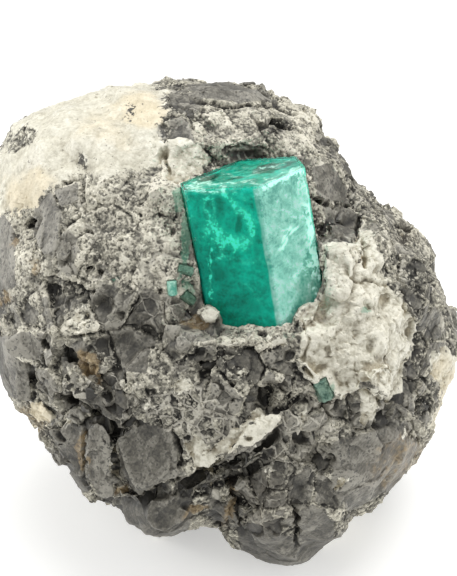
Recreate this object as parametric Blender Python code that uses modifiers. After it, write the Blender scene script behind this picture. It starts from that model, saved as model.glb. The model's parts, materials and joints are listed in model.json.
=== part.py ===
"""Emerald in matrix: one emerald prism and four small emerald crystals, grown in a boulder of
black shale breccia that white calcite has cemented.

The stone stands on a flat broken face at z = 0, with the origin at that face's middle and +Z up.
Its display face looks towards -Y and leans back. Places on that face are given in millimetres
across, up and out of it, measured from the stone's heart, as an eye sees them that stands square
to the face.
"""

import math
import random

import bmesh
import bpy
from mathutils import Matrix, Vector, noise
from mathutils.bvhtree import BVHTree

MM = 0.001

# The stone as a whole
HEART_HEIGHT = 31.3 * MM
FACE_TILT = math.radians(35.0)
FRONT_DEPTH = 33.0 * MM
BACK_DEPTH = 31.0 * MM
ROUNDNESS = 2.25
EYE_DISTANCE = 320.0 * MM
EYE_RISE = 5.4 * MM
BALL_SUBDIVISIONS = 6
STONE_FACES = 5600

# The outline is sharp at the rim and evens out, over these turns, towards the middle of each side
EVENING_TURNS = [math.radians(turn) for turn in (-24, -12, 0, 12, 24)]
RIM_SHARPNESS = 8

# The broken surface: broad waves, and flat chips of two sizes with their tilt. The relief is
# weaker at the rim, within this share of the way out of the face, and on the display face.
WAVE_SIZE = 13.0 * MM
WAVE_HEIGHT = 1.8 * MM
CHIPS = [(10.0 * MM, 0.32), (4.6 * MM, 0.28)]
RIM_RELIEF = 0.35
RIM_BAND = (0.03, 0.20)
FACE_RELIEF = 0.7

# The main emerald, an equiangular six-sided prism with unequal sides
EMERALD_SIDES = [11.3 * MM, 4.0 * MM, 11.4 * MM, 8.9 * MM, 6.4 * MM, 9.0 * MM]
EMERALD_FIRST_SIDE = math.radians(203.5)
EMERALD_LENGTH = 27.5 * MM
EMERALD_TOP_EDGE = (4.2, 19.7, 39.0)
EMERALD_LEAN_LEFT = math.radians(10.1)
EMERALD_LEAN_OUT = math.radians(19.2)
EMERALD_BEVEL = 0.18 * MM
BERYL_IOR = 1.58

# Every crystal stands in a pocket of its own shape. The main one's is also cut free above its top.
POCKET_GAP = 0.3 * MM
POCKET_ABOVE = 6.0 * MM

# Directions of the display face
ACROSS = Vector((1.0, 0.0, 0.0))
UP_FACE = Vector((0.0, math.sin(FACE_TILT), math.cos(FACE_TILT)))
OUT = Vector((0.0, -math.cos(FACE_TILT), math.sin(FACE_TILT)))
HEART = Vector((0.0, 0.0, HEART_HEIGHT))

# The outline of the stone seen from the eye, in mm across and up from the heart
OUTLINE = [
    (33.9, 5.1), (36.3, -3.7), (35.2, -5.8), (34.4, -10.1), (32.3, -17.0), (29.9, -22.1),
    (27.2, -24.5), (25.0, -26.9), (22.7, -29.8), (19.8, -30.7), (17.1, -33.9), (13.6, -37.0),
    (12.8, -37.9), (9.9, -38.4), (6.4, -37.8), (3.5, -35.8), (0.6, -35.2), (-0.3, -33.0),
    (-1.6, -30.6), (-3.7, -31.5), (-6.1, -31.7), (-8.5, -33.6), (-10.4, -34.2), (-12.5, -33.3),
    (-14.1, -31.5), (-15.7, -31.7), (-17.3, -29.8), (-20.5, -28.5), (-23.2, -27.4),
    (-25.6, -24.0), (-27.8, -20.5), (-30.1, -16.6), (-33.3, -13.6), (-34.4, -11.2),
    (-35.8, -10.1), (-36.8, -6.9), (-37.4, 0.3), (-38.1, 5.9), (-37.8, 11.5), (-38.1, 17.1),
    (-37.8, 21.9), (-36.5, 27.5), (-33.6, 31.7), (-30.1, 33.3), (-26.9, 34.7), (-22.9, 36.3),
    (-19.7, 37.3), (-16.5, 37.0), (-12.2, 37.8), (-9.3, 38.9), (-7.0, 38.7), (-4.5, 38.1),
    (-0.5, 37.3), (3.2, 37.8), (5.1, 37.3), (6.7, 36.2), (8.8, 35.8), (10.2, 34.6),
    (12.8, 34.1), (14.9, 32.6), (14.9, 29.8), (16.2, 28.5), (17.9, 23.7), (19.8, 21.6),
    (22.7, 19.5), (27.0, 16.6), (29.8, 14.4), (31.4, 12.2), (32.8, 10.6), (32.6, 8.0),
]

# Flat breaks on the hidden side: which way each faces, seen from the front, how far it leans
# out from straight back, and its distance from the heart in mm
BREAKS = [(20, 38, 28.5), (100, 41, 29.5), (170, 36, 28.0), (270, 4, 28.0)]

# Swells and hollows of the display face: across, up, half width, half height, turn, rise, in mm
# and degrees. A negative rise is a hollow. Each fades out between two shares of its half size.
SWELL_FADE = (0.45, 1.25)
SWELLS = [
    (-3.0, 2.0, 6.5, 5.5, 0, -4.4),        # bowl at the emerald's left foot
    (3.5, 0.0, 5.0, 2.6, 0, -2.0),         # between its two feet
    (12.5, 4.6, 5.5, 5.5, 30, -3.8),       # and at its right foot
    (-5.2, 9.5, 2.6, 6.0, 12, -2.0),       # gap along its left side
    (2.5, 8.0, 6.0, 7.0, 0, -3.0),         # hollow behind its front sides
    (20.5, -2.0, 8.5, 11.0, 20, 2.8),      # calcite mass right of the emerald
    (22.6, 11.5, 4.2, 3.6, 0, 1.8),        # round calcite knob above it
    (29.4, 4.6, 4.6, 6.0, 20, 1.8),        # dark block at the right edge
    (18.5, 18.2, 5.5, 5.0, -35, -1.8),     # smooth trough beside the emerald
    (15.2, 15.6, 1.6, 3.0, 0, -2.4),       # cleft where the trough meets the crystal
    (3.5, 26.0, 8.0, 2.6, 4, -3.2),        # hollow behind the emerald's head
    (-9.5, 20.5, 3.6, 3.0, 0, 1.2),        # calcite lump left of its head
    (-14.0, -4.0, 6.0, 4.5, 0, -1.2),      # dark dip in the middle
    (-19.8, 2.6, 1.4, 2.8, -10, -1.6),     # hole left of the middle
    (-31.4, 15.6, 1.4, 1.6, 0, -1.8),      # hole at the left edge
    (-29.0, 12.0, 5.5, 6.5, -25, 1.4),     # smooth shale at the left edge
    (7.0, -12.0, 3.6, 2.2, 0, -2.6),       # hole under the emerald's foot
    (13.3, -21.2, 2.8, 3.2, 0, -2.0),      # hole at the bar's right end
    (6.6, -29.3, 4.8, 6.2, 0, 2.4),        # nodule at the foot
    (14.6, -31.0, 4.4, 5.0, 30, 1.6),      # smooth boulder beside it
    (-10.8, -30.0, 6.5, 3.5, 5, 1.8),      # lower left lobe
    (22.5, -20.5, 8.5, 6.0, 30, 1.4),      # smooth shoulder, lower right
    (30.5, -10.0, 4.0, 6.0, 0, -1.0),      # dip below the right edge
    (-24.0, 24.0, 9.0, 8.0, 30, 1.4),      # cream calcite, upper left
    (-13.0, 25.0, 4.0, 3.0, 0, -1.0),      # dip in the cream calcite
]

# Ledges that the face steps down from: corners left to right, drop and reach, all in mm. Each
# has a low lip and a soft edge, and fades out over the last part of its length.
LEDGE_LIP = 0.2
LEDGE_SOFTNESS = 0.7
LEDGE_FADE = 0.2
LEDGES = [
    ([(-9.0, -26.8), (-5.0, -24.2), (0.0, -22.0), (4.5, -20.3), (9.5, -15.5)], 3.4, 7.0),
    ([(-30.5, -1.5), (-26.5, -4.8), (-22.5, -7.5), (-19.0, -10.5)], 2.4, 3.5),
    ([(-28.0, -11.0), (-24.5, -12.6), (-20.5, -15.8), (-17.0, -18.0)], 2.6, 4.0),
    ([(3.0, -13.0), (7.5, -13.8), (12.0, -11.5), (17.0, -13.0), (21.5, -11.0)], 2.2, 5.0),
    ([(-19.5, -28.0), (-14.5, -28.0), (-8.0, -25.4)], 1.8, 4.0),
    ([(-18.0, -22.0), (-17.9, -27.5), (-19.8, -30.5)], 2.0, 2.4),
    ([(13.8, 21.5), (17.0, 19.0), (21.5, 18.2), (26.0, 15.0)], 1.6, 4.0),
    ([(-11.5, 26.5), (-4.5, 27.8), (2.0, 28.6), (9.0, 27.6), (14.5, 24.0)], 1.8, 4.5),
    ([(24.0, -14.0), (28.0, -15.5), (32.0, -13.5)], 1.8, 4.0),
    ([(1.0, -36.0), (1.6, -30.0), (0.0, -25.0)], 2.2, 3.0),
    ([(-33.0, 9.5), (-27.5, 5.0), (-24.5, 0.5)], 1.2, 4.0),
]

# Flat-faced clasts and crystals: corners in mm across and up, how far they stand proud in mm,
# and how much they lean to the right and upwards from the stone's own slope
SLABS = {
    "square_clast": (
        [(-17.8, -18.2), (-15.4, -17.6), (-11.2, -16.8), (-9.3, -17.3), (-7.7, -23.7),
         (-8.3, -25.0), (-12.5, -26.2), (-14.6, -27.5), (-15.5, -25.9), (-17.0, -22.4)],
        1.3, (-0.10, 0.12)),
    "long_clast": (
        [(-22.4, -17.0), (-21.1, -16.0), (-19.8, -16.5), (-18.6, -18.6), (-18.9, -21.3),
         (-18.6, -24.5), (-18.4, -28.0), (-19.8, -28.5), (-22.1, -27.5), (-23.0, -25.0),
         (-22.6, -20.5)],
        1.1, (-0.15, 0.05)),
    "wedge_clast_upper": (
        [(-27.2, -10.9), (-26.6, -8.0), (-25.3, -6.6), (-24.0, -7.0), (-21.4, -9.0),
         (-24.6, -11.5)],
        1.8, (0.10, 0.35)),
    "wedge_clast_lower": (
        [(-24.6, -11.7), (-21.3, -9.3), (-20.2, -11.2), (-19.2, -13.8), (-16.0, -17.0),
         (-17.6, -17.8), (-20.5, -14.4), (-22.4, -13.3)],
        1.5, (0.15, -0.30)),
    "veined_clast": (
        [(-19.8, -10.6), (-17.9, -9.1), (-16.0, -10.2), (-15.2, -11.7), (-16.3, -13.8),
         (-18.6, -13.4)],
        1.1, (0.0, 0.0)),
    "left_clast": (
        [(-36.2, -3.2), (-33.3, -1.6), (-29.4, -1.3), (-28.5, -3.7), (-29.1, -6.4),
         (-33.0, -6.1), (-35.2, -5.4)],
        1.0, (0.0, 0.10)),
    "left_edge_clast": (
        [(-34.2, -6.7), (-32.6, -7.0), (-31.5, -10.1), (-31.7, -12.6), (-33.8, -13.1),
         (-34.1, -10.9)],
        1.0, (-0.2, 0.0)),
    "brown_clast": (
        [(-29.4, -17.3), (-27.2, -14.9), (-26.2, -16.0), (-23.4, -18.9), (-25.9, -20.0),
         (-28.5, -19.0)],
        0.9, (-0.1, 0.1)),
    "dark_clast": (
        [(-28.2, -20.0), (-26.2, -19.2), (-23.2, -20.8), (-22.7, -25.0), (-25.3, -24.3),
         (-26.9, -22.1)],
        1.0, (-0.1, -0.1)),
    "lobe_clast": (
        [(-12.5, -28.5), (-9.3, -28.5), (-5.8, -30.4), (-7.0, -32.2), (-10.1, -33.9),
         (-12.2, -33.2), (-13.4, -31.7), (-13.0, -29.8)],
        0.9, (0.0, -0.1)),
    "shale_bar_left": (
        [(-7.7, -27.2), (-3.7, -24.6), (1.3, -22.4), (3.0, -24.3), (0.0, -25.6),
         (-3.5, -27.4), (-6.1, -28.5)],
        1.0, (0.0, 0.1)),
    "shale_bar_right": (
        [(0.6, -22.6), (5.4, -18.6), (6.7, -16.3), (8.3, -16.3), (7.8, -19.8),
         (4.8, -22.7), (2.2, -24.3)],
        1.2, (0.0, 0.1)),
    "calcite_strip": (
        [(-1.0, -22.1), (0.6, -20.0), (3.5, -16.0), (5.4, -14.6), (9.0, -14.4),
         (7.0, -17.3), (3.5, -20.5), (1.3, -22.1)],
        1.1, (0.0, 0.15)),
    "calcite_block": (
        [(15.2, 11.2), (16.3, 12.6), (18.7, 11.8), (19.8, 9.6), (19.8, 6.7), (18.7, 4.2),
         (16.0, 4.2), (15.4, 8.3)],
        1.5, (-0.20, 0.15)),
    "calcite_crystal_right": (
        [(23.0, -9.0), (24.0, -7.4), (26.2, -6.1), (27.4, -8.0), (26.9, -10.6),
         (25.3, -12.2), (23.4, -11.2)],
        1.7, (0.25, -0.10)),
    "calcite_crystal_left": (
        [(10.9, -6.1), (12.5, -6.7), (15.0, -8.6), (14.1, -9.9), (12.2, -9.3),
         (10.9, -7.4)],
        1.3, (-0.15, -0.20)),
    "calcite_at_foot_left": (
        [(-5.4, 1.6), (-3.2, 2.9), (-1.9, 1.9), (-1.0, 0.6), (-3.5, 0.0)],
        1.5, (-0.10, 0.20)),
    "calcite_at_foot_right": (
        [(10.4, 0.2), (11.5, 2.2), (13.1, 3.4), (15.0, 3.2), (14.4, 1.0), (12.2, -0.5)],
        1.6, (0.10, 0.15)),
    "right_block": (
        [(25.8, 8.6), (28.5, 11.2), (31.2, 10.2), (32.3, 7.0), (32.6, 3.2), (30.4, 0.3),
         (27.5, 1.9), (26.2, 5.1)],
        1.2, (0.10, -0.05)),
}
SLAB_DEPTH = 5.0 * MM
SLAB_BEVEL = 0.28 * MM
SLAB_SLOPE_SHARE = 0.6
SLAB_SIDE_SHARE = 0.7
SLOPE_REACH = 1.5

# Angular fragments that break the surface where the display face doesn't show
FRAGMENTS = 26
FRAGMENT_SIZE = (2.6 * MM, 5.2 * MM)
FRAGMENT_STRETCH = (0.7, 1.35)
FRAGMENT_FLATNESS = 0.45
FRAGMENT_CORNERS = 14
FRAGMENT_CLEARANCE = 2.0 * MM
FRAGMENT_SEED = 11

# Small emerald crystals: across, up, width, length, turn, how far they stand proud, in mm
SMALL_EMERALDS = [
    ("small_emerald_1", -8.9, 5.4, 1.45, 2.1, 8, 0.55),
    ("small_emerald_2", -6.9, 8.3, 1.70, 2.4, 78, 0.60),
    ("small_emerald_3", -6.3, 3.9, 1.80, 2.6, 60, 0.50),
    ("small_emerald_4", 15.2, -11.0, 2.60, 3.2, 25, 0.70),
]


def at(across, up, out=0.0):
    """The point that lies so many millimetres across, up and out from the stone's heart."""
    return HEART + MM * (across * ACROSS + up * UP_FACE + out * OUT)


EYE = at(0.0, EYE_RISE / MM, EYE_DISTANCE / MM)


def smooth(low, high, value):
    """0 at low, 1 at high and beyond, and an even slope between them."""
    share = min(1.0, max(0.0, (value - low) / (high - low)))
    return share * share * (3.0 - 2.0 * share)


def clear_scene():
    for obj in list(bpy.data.objects):
        bpy.data.objects.remove(obj)


def collection(name):
    made = bpy.data.collections.new(name)
    bpy.context.scene.collection.children.link(made)
    return made


def material(name, colour, roughness, transmission=0.0, ior=1.5):
    made = bpy.data.materials.new(name)
    made.use_nodes = True
    shader = made.node_tree.nodes["Principled BSDF"]
    shader.inputs["Base Color"].default_value = (*colour, 1.0)
    shader.inputs["Roughness"].default_value = roughness
    shader.inputs["Metallic"].default_value = 0.0
    shader.inputs["Transmission Weight"].default_value = transmission
    shader.inputs["IOR"].default_value = ior
    made.diffuse_color = (*colour, 1.0)
    return made


def add_object(name, mesh, group, surface=None):
    obj = bpy.data.objects.new(name, mesh)
    group.objects.link(obj)
    if surface:
        mesh.materials.append(surface)
    return obj


def outline_radius():
    """A function that gives the outline's distance from the heart at an angle, by straight runs."""
    polar = sorted((math.atan2(up, across) % math.tau, math.hypot(across, up)) for across, up in OUTLINE)
    polar = [(polar[-1][0] - math.tau, polar[-1][1]), *polar, (polar[0][0] + math.tau, polar[0][1])]

    def radius(angle):
        angle %= math.tau
        for (before, near), (after, far) in zip(polar, polar[1:]):
            if before <= angle <= after:
                return MM * (near + (far - near) * (angle - before) / max(after - before, 1e-9))
        return MM * polar[0][1]

    return radius


def swell_at(across, up):
    """The rise in metres that the swells and hollows add at a place on the display face."""
    total = 0.0
    for middle_across, middle_up, half_width, half_height, turn, rise in SWELLS:
        angle = math.radians(turn)
        along = (across - middle_across) * math.cos(angle) + (up - middle_up) * math.sin(angle)
        aside = (up - middle_up) * math.cos(angle) - (across - middle_across) * math.sin(angle)
        reach = math.hypot(along / half_width, aside / half_height)
        total += rise * MM * (1.0 - smooth(*SWELL_FADE, reach))
    return total


def nearest_on(corners, place):
    """The place's distance from a broken line, which side it is on, and how far along it."""
    best = None
    for index, (start, end) in enumerate(zip(corners, corners[1:])):
        start, run = Vector(start), Vector(end) - Vector(start)
        share = min(1.0, max(0.0, (place - start).dot(run) / run.length_squared))
        away = place - start - run * share
        if best is None or away.length < best[0]:
            side = 1.0 if run.x * away.y - run.y * away.x >= 0 else -1.0
            best = (away.length, side, (index + share) / (len(corners) - 1))
    return best


def ledge_at(across, up):
    """The rise in metres that the ledges add: a lip above each line and a drop below it."""
    total = 0.0
    for corners, drop, reach in LEDGES:
        distance, side, along = nearest_on(corners, Vector((across, up)))
        if distance < reach:
            ends = smooth(0.0, LEDGE_FADE, along) * smooth(1.0, 1.0 - LEDGE_FADE, along)
            fade = (1.0 - distance / reach) ** 2 * ends
            above = smooth(-LEDGE_SOFTNESS, LEDGE_SOFTNESS, side * distance)
            total += drop * MM * fade * (LEDGE_LIP * above - (1.0 - above))
    return total


def chips(point, size, tilt_share):
    """Relief of a broken surface: each cell of about that size is one tilted flat chip."""
    place = point / size
    middle = noise.voronoi(place)[1][0]
    tilt = noise.cell_vector(middle * 7.3) - Vector((0.5, 0.5, 0.5))
    return tilt_share * size * tilt.dot(place - middle)


def stone_point(direction, radius):
    """The surface point of the stone along a direction from its heart."""
    across, up, out = direction.dot(ACROSS), direction.dot(UP_FACE), direction.dot(OUT)
    flat = math.hypot(across, up)
    angle = math.atan2(up, across)
    even = sum(radius(angle + turn) for turn in EVENING_TURNS) / len(EVENING_TURNS)
    rim = even + (radius(angle) - even) * flat ** RIM_SHARPNESS
    depth = FRONT_DEPTH if out > 0 else BACK_DEPTH
    reach = ((flat / rim) ** ROUNDNESS + (abs(out) / depth) ** ROUNDNESS) ** (-1 / ROUNDNESS)
    for facing, lean, distance in BREAKS:
        facing, lean = math.radians(facing), math.radians(lean)
        sideways = math.cos(facing) * ACROSS + math.sin(facing) * UP_FACE
        towards = direction.dot(math.sin(lean) * sideways - math.cos(lean) * OUT)
        if towards * reach > distance * MM:
            reach = distance * MM / towards
    place = direction * reach
    inside_rim = RIM_RELIEF + (1.0 - RIM_RELIEF) * smooth(*RIM_BAND, abs(out))
    relief = WAVE_HEIGHT * noise.fractal(place / WAVE_SIZE, 1.0, 2.0, 3)
    relief += sum(chips(place, size, tilt_share) for size, tilt_share in CHIPS)
    if out > 0:
        relief *= FACE_RELIEF
        spread = EYE_DISTANCE / (EYE_DISTANCE - place.dot(OUT))
        seen_across = place.dot(ACROSS) * spread / MM
        seen_up = (EYE_RISE + (place.dot(UP_FACE) - EYE_RISE) * spread) / MM
        relief += swell_at(seen_across, seen_up) + ledge_at(seen_across, seen_up)
    return HEART + direction * (reach + relief * inside_rim)


def plain_mesh(obj):
    """The object's mesh with its modifiers done, at its place, as a new mesh."""
    graph = bpy.context.evaluated_depsgraph_get()
    mesh = bpy.data.meshes.new_from_object(obj.evaluated_get(graph))
    mesh.transform(obj.matrix_world)
    return mesh


def stone_body(group, surface):
    """The stone without its clasts: a fine ball pushed out to shape, thinned, and cut flat below."""
    radius = outline_radius()
    ball = bmesh.new()
    bmesh.ops.create_icosphere(ball, subdivisions=BALL_SUBDIVISIONS, radius=1.0)
    for vertex in ball.verts:
        vertex.co = stone_point(vertex.co.normalized(), radius)
    mesh = bpy.data.meshes.new("matrix")
    ball.to_mesh(mesh)
    ball.free()
    obj = add_object("matrix_ball", mesh, group)
    thin = obj.modifiers.new("thin", "DECIMATE")
    thin.ratio = STONE_FACES / len(mesh.polygons)
    bpy.context.view_layer.update()
    body = plain_mesh(obj)
    bpy.data.objects.remove(obj)

    cut = bmesh.new()
    cut.from_mesh(body)
    everything = cut.verts[:] + cut.edges[:] + cut.faces[:]
    done = bmesh.ops.bisect_plane(
        cut, geom=everything, plane_co=(0, 0, 0), plane_no=(0, 0, 1), clear_inner=True)
    rim = [piece for piece in done["geom_cut"] if isinstance(piece, bmesh.types.BMEdge)]
    bmesh.ops.contextual_create(cut, geom=rim)
    bmesh.ops.triangulate(cut, faces=cut.faces[:])
    bmesh.ops.recalc_face_normals(cut, faces=cut.faces[:])
    cut.to_mesh(body)
    cut.free()
    return add_object("matrix", body, group, surface)


def surface_finder(obj):
    """A function that gives the surface point and its averaged normal along a line of sight."""
    mesh = obj.data
    tree = BVHTree.FromPolygons([v.co for v in mesh.vertices], [p.vertices for p in mesh.polygons])

    def find(across, up):
        total_normal = Vector()
        found = None
        for step_across, step_up in ((0, 0), (1, 0), (-1, 0), (0, 1), (0, -1)):
            aim = at(across + step_across * SLOPE_REACH, up + step_up * SLOPE_REACH)
            line = (aim - EYE).normalized()
            point, normal, _, _ = tree.ray_cast(EYE, line)
            if point is None:
                continue
            total_normal += normal
            if found is None:
                found = point
        return found, total_normal.normalized()

    return find


def on_plane(corner, point, normal):
    """Where the line of sight through a corner, in mm across and up, meets a plane."""
    line = (at(*corner) - EYE).normalized()
    return EYE + line * ((point - EYE).dot(normal) / line.dot(normal))


def prism_between(name, front, inward, group):
    """A closed prism from a ring of corners and the vector to its other end."""
    shape = bmesh.new()
    near = [shape.verts.new(corner) for corner in front]
    shape.faces.new(near)
    ring = bmesh.ops.extrude_face_region(shape, geom=shape.faces[:])["geom"]
    moved = [piece for piece in ring if isinstance(piece, bmesh.types.BMVert)]
    bmesh.ops.translate(shape, verts=moved, vec=inward)
    bmesh.ops.recalc_face_normals(shape, faces=shape.faces[:])
    mesh = bpy.data.meshes.new(name)
    shape.to_mesh(mesh)
    shape.free()
    return add_object(name, mesh, group)


def slab(name, corners, proud, lean, find, group):
    """A flat-faced clast or crystal set into the display face."""
    middle = [sum(corner[axis] for corner in corners) / len(corners) for axis in (0, 1)]
    point, slope = find(*middle)
    normal = slope.lerp(OUT, 1.0 - SLAB_SLOPE_SHARE) + lean[0] * ACROSS + lean[1] * UP_FACE
    normal.normalize()
    point = point + normal * proud * MM
    front = [on_plane(corner, point, normal) for corner in corners]
    inward = -OUT.lerp(normal, SLAB_SIDE_SHARE).normalized() * SLAB_DEPTH
    obj = prism_between(name, front, inward, group)
    bevel = obj.modifiers.new("bevel", "BEVEL")
    bevel.width = SLAB_BEVEL
    bevel.segments = 1
    bevel.limit_method = "ANGLE"
    return obj


def fragment(name, point, normal, size, draw, group):
    """An angular fragment: the hull of a few points on a squashed ball, half sunk in the stone."""
    shape = bmesh.new()
    turn = Matrix.Rotation(draw.uniform(0, math.tau), 3, normal)
    side = turn @ normal.orthogonal().normalized()
    other = normal.cross(side)
    stretch = draw.uniform(*FRAGMENT_STRETCH)
    for _ in range(FRAGMENT_CORNERS):
        step = Vector((draw.gauss(0, 1), draw.gauss(0, 1), draw.gauss(0, 1))).normalized()
        corner = side * step.x * stretch + other * step.y + normal * step.z * FRAGMENT_FLATNESS
        shape.verts.new(point + corner * size)
    hull = bmesh.ops.convex_hull(shape, input=shape.verts[:])
    bmesh.ops.delete(shape, geom=hull["geom_interior"], context="VERTS")
    bmesh.ops.recalc_face_normals(shape, faces=shape.faces[:])
    mesh = bpy.data.meshes.new(name)
    shape.to_mesh(mesh)
    shape.free()
    return add_object(name, mesh, group)


def hidden_fragments(stone, group):
    """Fragments on the sides, the back and the underside, clear of the foot."""
    draw = random.Random(FRAGMENT_SEED)
    mesh = stone.data
    tree = BVHTree.FromPolygons([v.co for v in mesh.vertices], [p.vertices for p in mesh.polygons])
    made = []
    while len(made) < FRAGMENTS:
        way = Vector((draw.gauss(0, 1), draw.gauss(0, 1), draw.gauss(0, 1))).normalized()
        if way.dot(OUT) > -0.15:
            continue
        size = draw.uniform(*FRAGMENT_SIZE)
        point, normal, _, _ = tree.ray_cast(HEART, way)
        if point.z < size + FRAGMENT_CLEARANCE:
            continue
        made.append(fragment(f"fragment_{len(made)}", point, normal, size, draw, group))
    return made


def combine(target, other, operation):
    """Joins other to target, or cuts it out, at once, and removes what was joined."""
    step = target.modifiers.new(operation.lower(), "BOOLEAN")
    step.operation = operation
    step.solver = "EXACT"
    step.object = other
    bpy.context.view_layer.update()
    mesh = plain_mesh(target)
    target.modifiers.remove(step)
    old = target.data
    target.data = mesh
    bpy.data.meshes.remove(old)


def keep_largest(target):
    """Drops the crumbs that the pockets cut loose, so that the stone is one body."""
    shape = bmesh.new()
    shape.from_mesh(target.data)
    waiting = set(shape.verts)
    bodies = []
    while waiting:
        body = [waiting.pop()]
        for vertex in body:
            for edge in vertex.link_edges:
                other = edge.other_vert(vertex)
                if other in waiting:
                    waiting.remove(other)
                    body.append(other)
        bodies.append(body)
    bodies.sort(key=len)
    for body in bodies[:-1]:
        bmesh.ops.delete(shape, geom=body, context="VERTS")
    shape.to_mesh(target.data)
    shape.free()


def hexagon(sides, first_turn):
    """The corners of an equiangular hexagon, from the side lengths, starting at (0, 0)."""
    corners = [Vector((0.0, 0.0))]
    for count, side in enumerate(sides[:-1]):
        turn = first_turn + count * math.radians(60)
        corners.append(corners[-1] + side * Vector((math.cos(turn), math.sin(turn))))
    return corners


def grown(corners, gap):
    """The same ring with every side moved out by the gap."""
    moved = []
    count = len(corners)
    for index in range(count):
        before, here, after = corners[index - 1], corners[index], corners[(index + 1) % count]
        first, second = (here - before).normalized(), (after - here).normalized()
        out_first, out_second = Vector((first.y, -first.x)), Vector((second.y, -second.x))
        moved.append(here + (out_first + out_second) * gap / (1.0 + out_first.dot(out_second)))
    return moved


def emerald_frame():
    """The matrix from the crystal's own axes to the world: right, towards the eye, long axis."""
    sideways = math.sin(EMERALD_LEAN_LEFT) * ACROSS
    axis = math.cos(EMERALD_LEAN_OUT) * (math.cos(EMERALD_LEAN_LEFT) * UP_FACE - sideways)
    axis += math.sin(EMERALD_LEAN_OUT) * OUT
    right = math.cos(EMERALD_LEAN_LEFT) * ACROSS + math.sin(EMERALD_LEAN_LEFT) * UP_FACE
    ahead = right.cross(axis)
    return Matrix((right, ahead, axis)).transposed()


def emerald_prism(name, gap, above, group, surface=None):
    """The main crystal or, with a gap and a height above, the pocket that it stands in."""
    turn = emerald_frame()
    top = at(*EMERALD_TOP_EDGE)
    ring = grown(hexagon(EMERALD_SIDES, EMERALD_FIRST_SIDE), gap)
    front = [top + turn @ Vector((corner.x, corner.y, above)) for corner in ring]
    length = above + EMERALD_LENGTH + gap
    obj = prism_between(name, front, turn @ Vector((0, 0, -length)), group)
    if surface:
        obj.data.materials.append(surface)
        bevel = obj.modifiers.new("bevel", "BEVEL")
        bevel.width = EMERALD_BEVEL
        bevel.segments = 1
    return obj


def small_prism(name, across, up, width, length, turn, proud, find, gap, group, surface=None):
    """A small six-sided crystal that lies half sunk in the display face, or its pocket."""
    point, normal = find(across, up)
    along = Matrix.Rotation(math.radians(turn), 3, normal) @ (
        UP_FACE - normal * UP_FACE.dot(normal)).normalized()
    aside = along.cross(normal)
    middle = point + normal * (proud * MM - width * MM / 2)
    reach = width * MM / 2 + gap
    half = length * MM / 2 + gap
    ring = []
    for count in range(6):
        angle = math.radians(60 * count)
        ring.append(middle + along * half + reach * (math.cos(angle) * aside + math.sin(angle) * normal))
    obj = prism_between(name, ring, -2 * half * along, group)
    if surface:
        obj.data.materials.append(surface)
    return obj


def build():
    clear_scene()
    specimen = collection("emerald_in_matrix")
    cutters = collection("cutters")
    cutters.hide_render = True
    stone_finish = material("shale_and_calcite", colour=(0.22, 0.21, 0.20), roughness=0.9)
    emerald_finish = material(
        "emerald", colour=(0.0, 0.42, 0.27), roughness=0.05, transmission=1.0, ior=BERYL_IOR)
    pale_finish = material(
        "pale_emerald", colour=(0.25, 0.62, 0.45), roughness=0.1, transmission=0.8, ior=BERYL_IOR)

    stone = stone_body(specimen, stone_finish)
    find = surface_finder(stone)
    joined = [slab(name, *rest, find, cutters) for name, rest in SLABS.items()]
    joined += hidden_fragments(stone, cutters)
    for piece in joined:
        combine(stone, piece, "UNION")

    emerald_prism("emerald", 0.0, 0.0, specimen, emerald_finish)
    joined.append(emerald_prism("pocket", POCKET_GAP, POCKET_ABOVE, cutters))
    combine(stone, joined[-1], "DIFFERENCE")
    find = surface_finder(stone)
    for name, *rest in SMALL_EMERALDS:
        small_prism(name, *rest, find, 0.0, specimen, pale_finish)
        joined.append(small_prism(f"{name}_pocket", *rest, find, POCKET_GAP, cutters))
    for pocket in joined[-len(SMALL_EMERALDS):]:
        combine(stone, pocket, "DIFFERENCE")
    keep_largest(stone)
    for piece in joined:
        bpy.data.objects.remove(piece)
    bpy.data.collections.remove(cutters)


build()
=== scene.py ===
# %% [markdown]
# # Emerald in matrix
#
# A hand specimen: one large emerald prism and four small crystals in a stone of black shale
# breccia that white calcite has cemented. The solids come in ready made, at their real size and
# place. Everything below gives them the surface that an eye sees: broken grain, crystals,
# mineral colours and clear green crystal.

# %% Load the solids
import json
import math
import random

import bmesh
import bpy
import numpy as np
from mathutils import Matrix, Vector
from mathutils.bvhtree import BVHTree

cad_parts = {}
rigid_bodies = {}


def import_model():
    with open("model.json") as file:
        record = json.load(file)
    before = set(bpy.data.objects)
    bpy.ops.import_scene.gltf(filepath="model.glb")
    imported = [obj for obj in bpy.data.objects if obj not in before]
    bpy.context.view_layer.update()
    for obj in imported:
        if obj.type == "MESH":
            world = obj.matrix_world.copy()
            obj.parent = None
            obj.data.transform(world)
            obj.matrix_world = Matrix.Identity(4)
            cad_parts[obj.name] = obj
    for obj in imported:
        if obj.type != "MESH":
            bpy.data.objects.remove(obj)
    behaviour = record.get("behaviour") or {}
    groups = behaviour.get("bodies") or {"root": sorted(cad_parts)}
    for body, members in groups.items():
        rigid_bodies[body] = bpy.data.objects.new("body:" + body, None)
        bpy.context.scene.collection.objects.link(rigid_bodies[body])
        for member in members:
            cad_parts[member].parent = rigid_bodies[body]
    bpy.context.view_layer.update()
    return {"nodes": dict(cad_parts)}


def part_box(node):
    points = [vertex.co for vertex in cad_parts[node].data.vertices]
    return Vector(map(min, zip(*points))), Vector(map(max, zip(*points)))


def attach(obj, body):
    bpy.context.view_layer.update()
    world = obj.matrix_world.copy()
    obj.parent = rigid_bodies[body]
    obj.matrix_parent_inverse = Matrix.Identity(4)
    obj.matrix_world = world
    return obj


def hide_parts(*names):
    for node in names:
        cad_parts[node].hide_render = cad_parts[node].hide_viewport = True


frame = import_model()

MM = 0.001
SCENE = bpy.context.scene.collection
print("solids:", sorted(frame["nodes"]))

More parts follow.
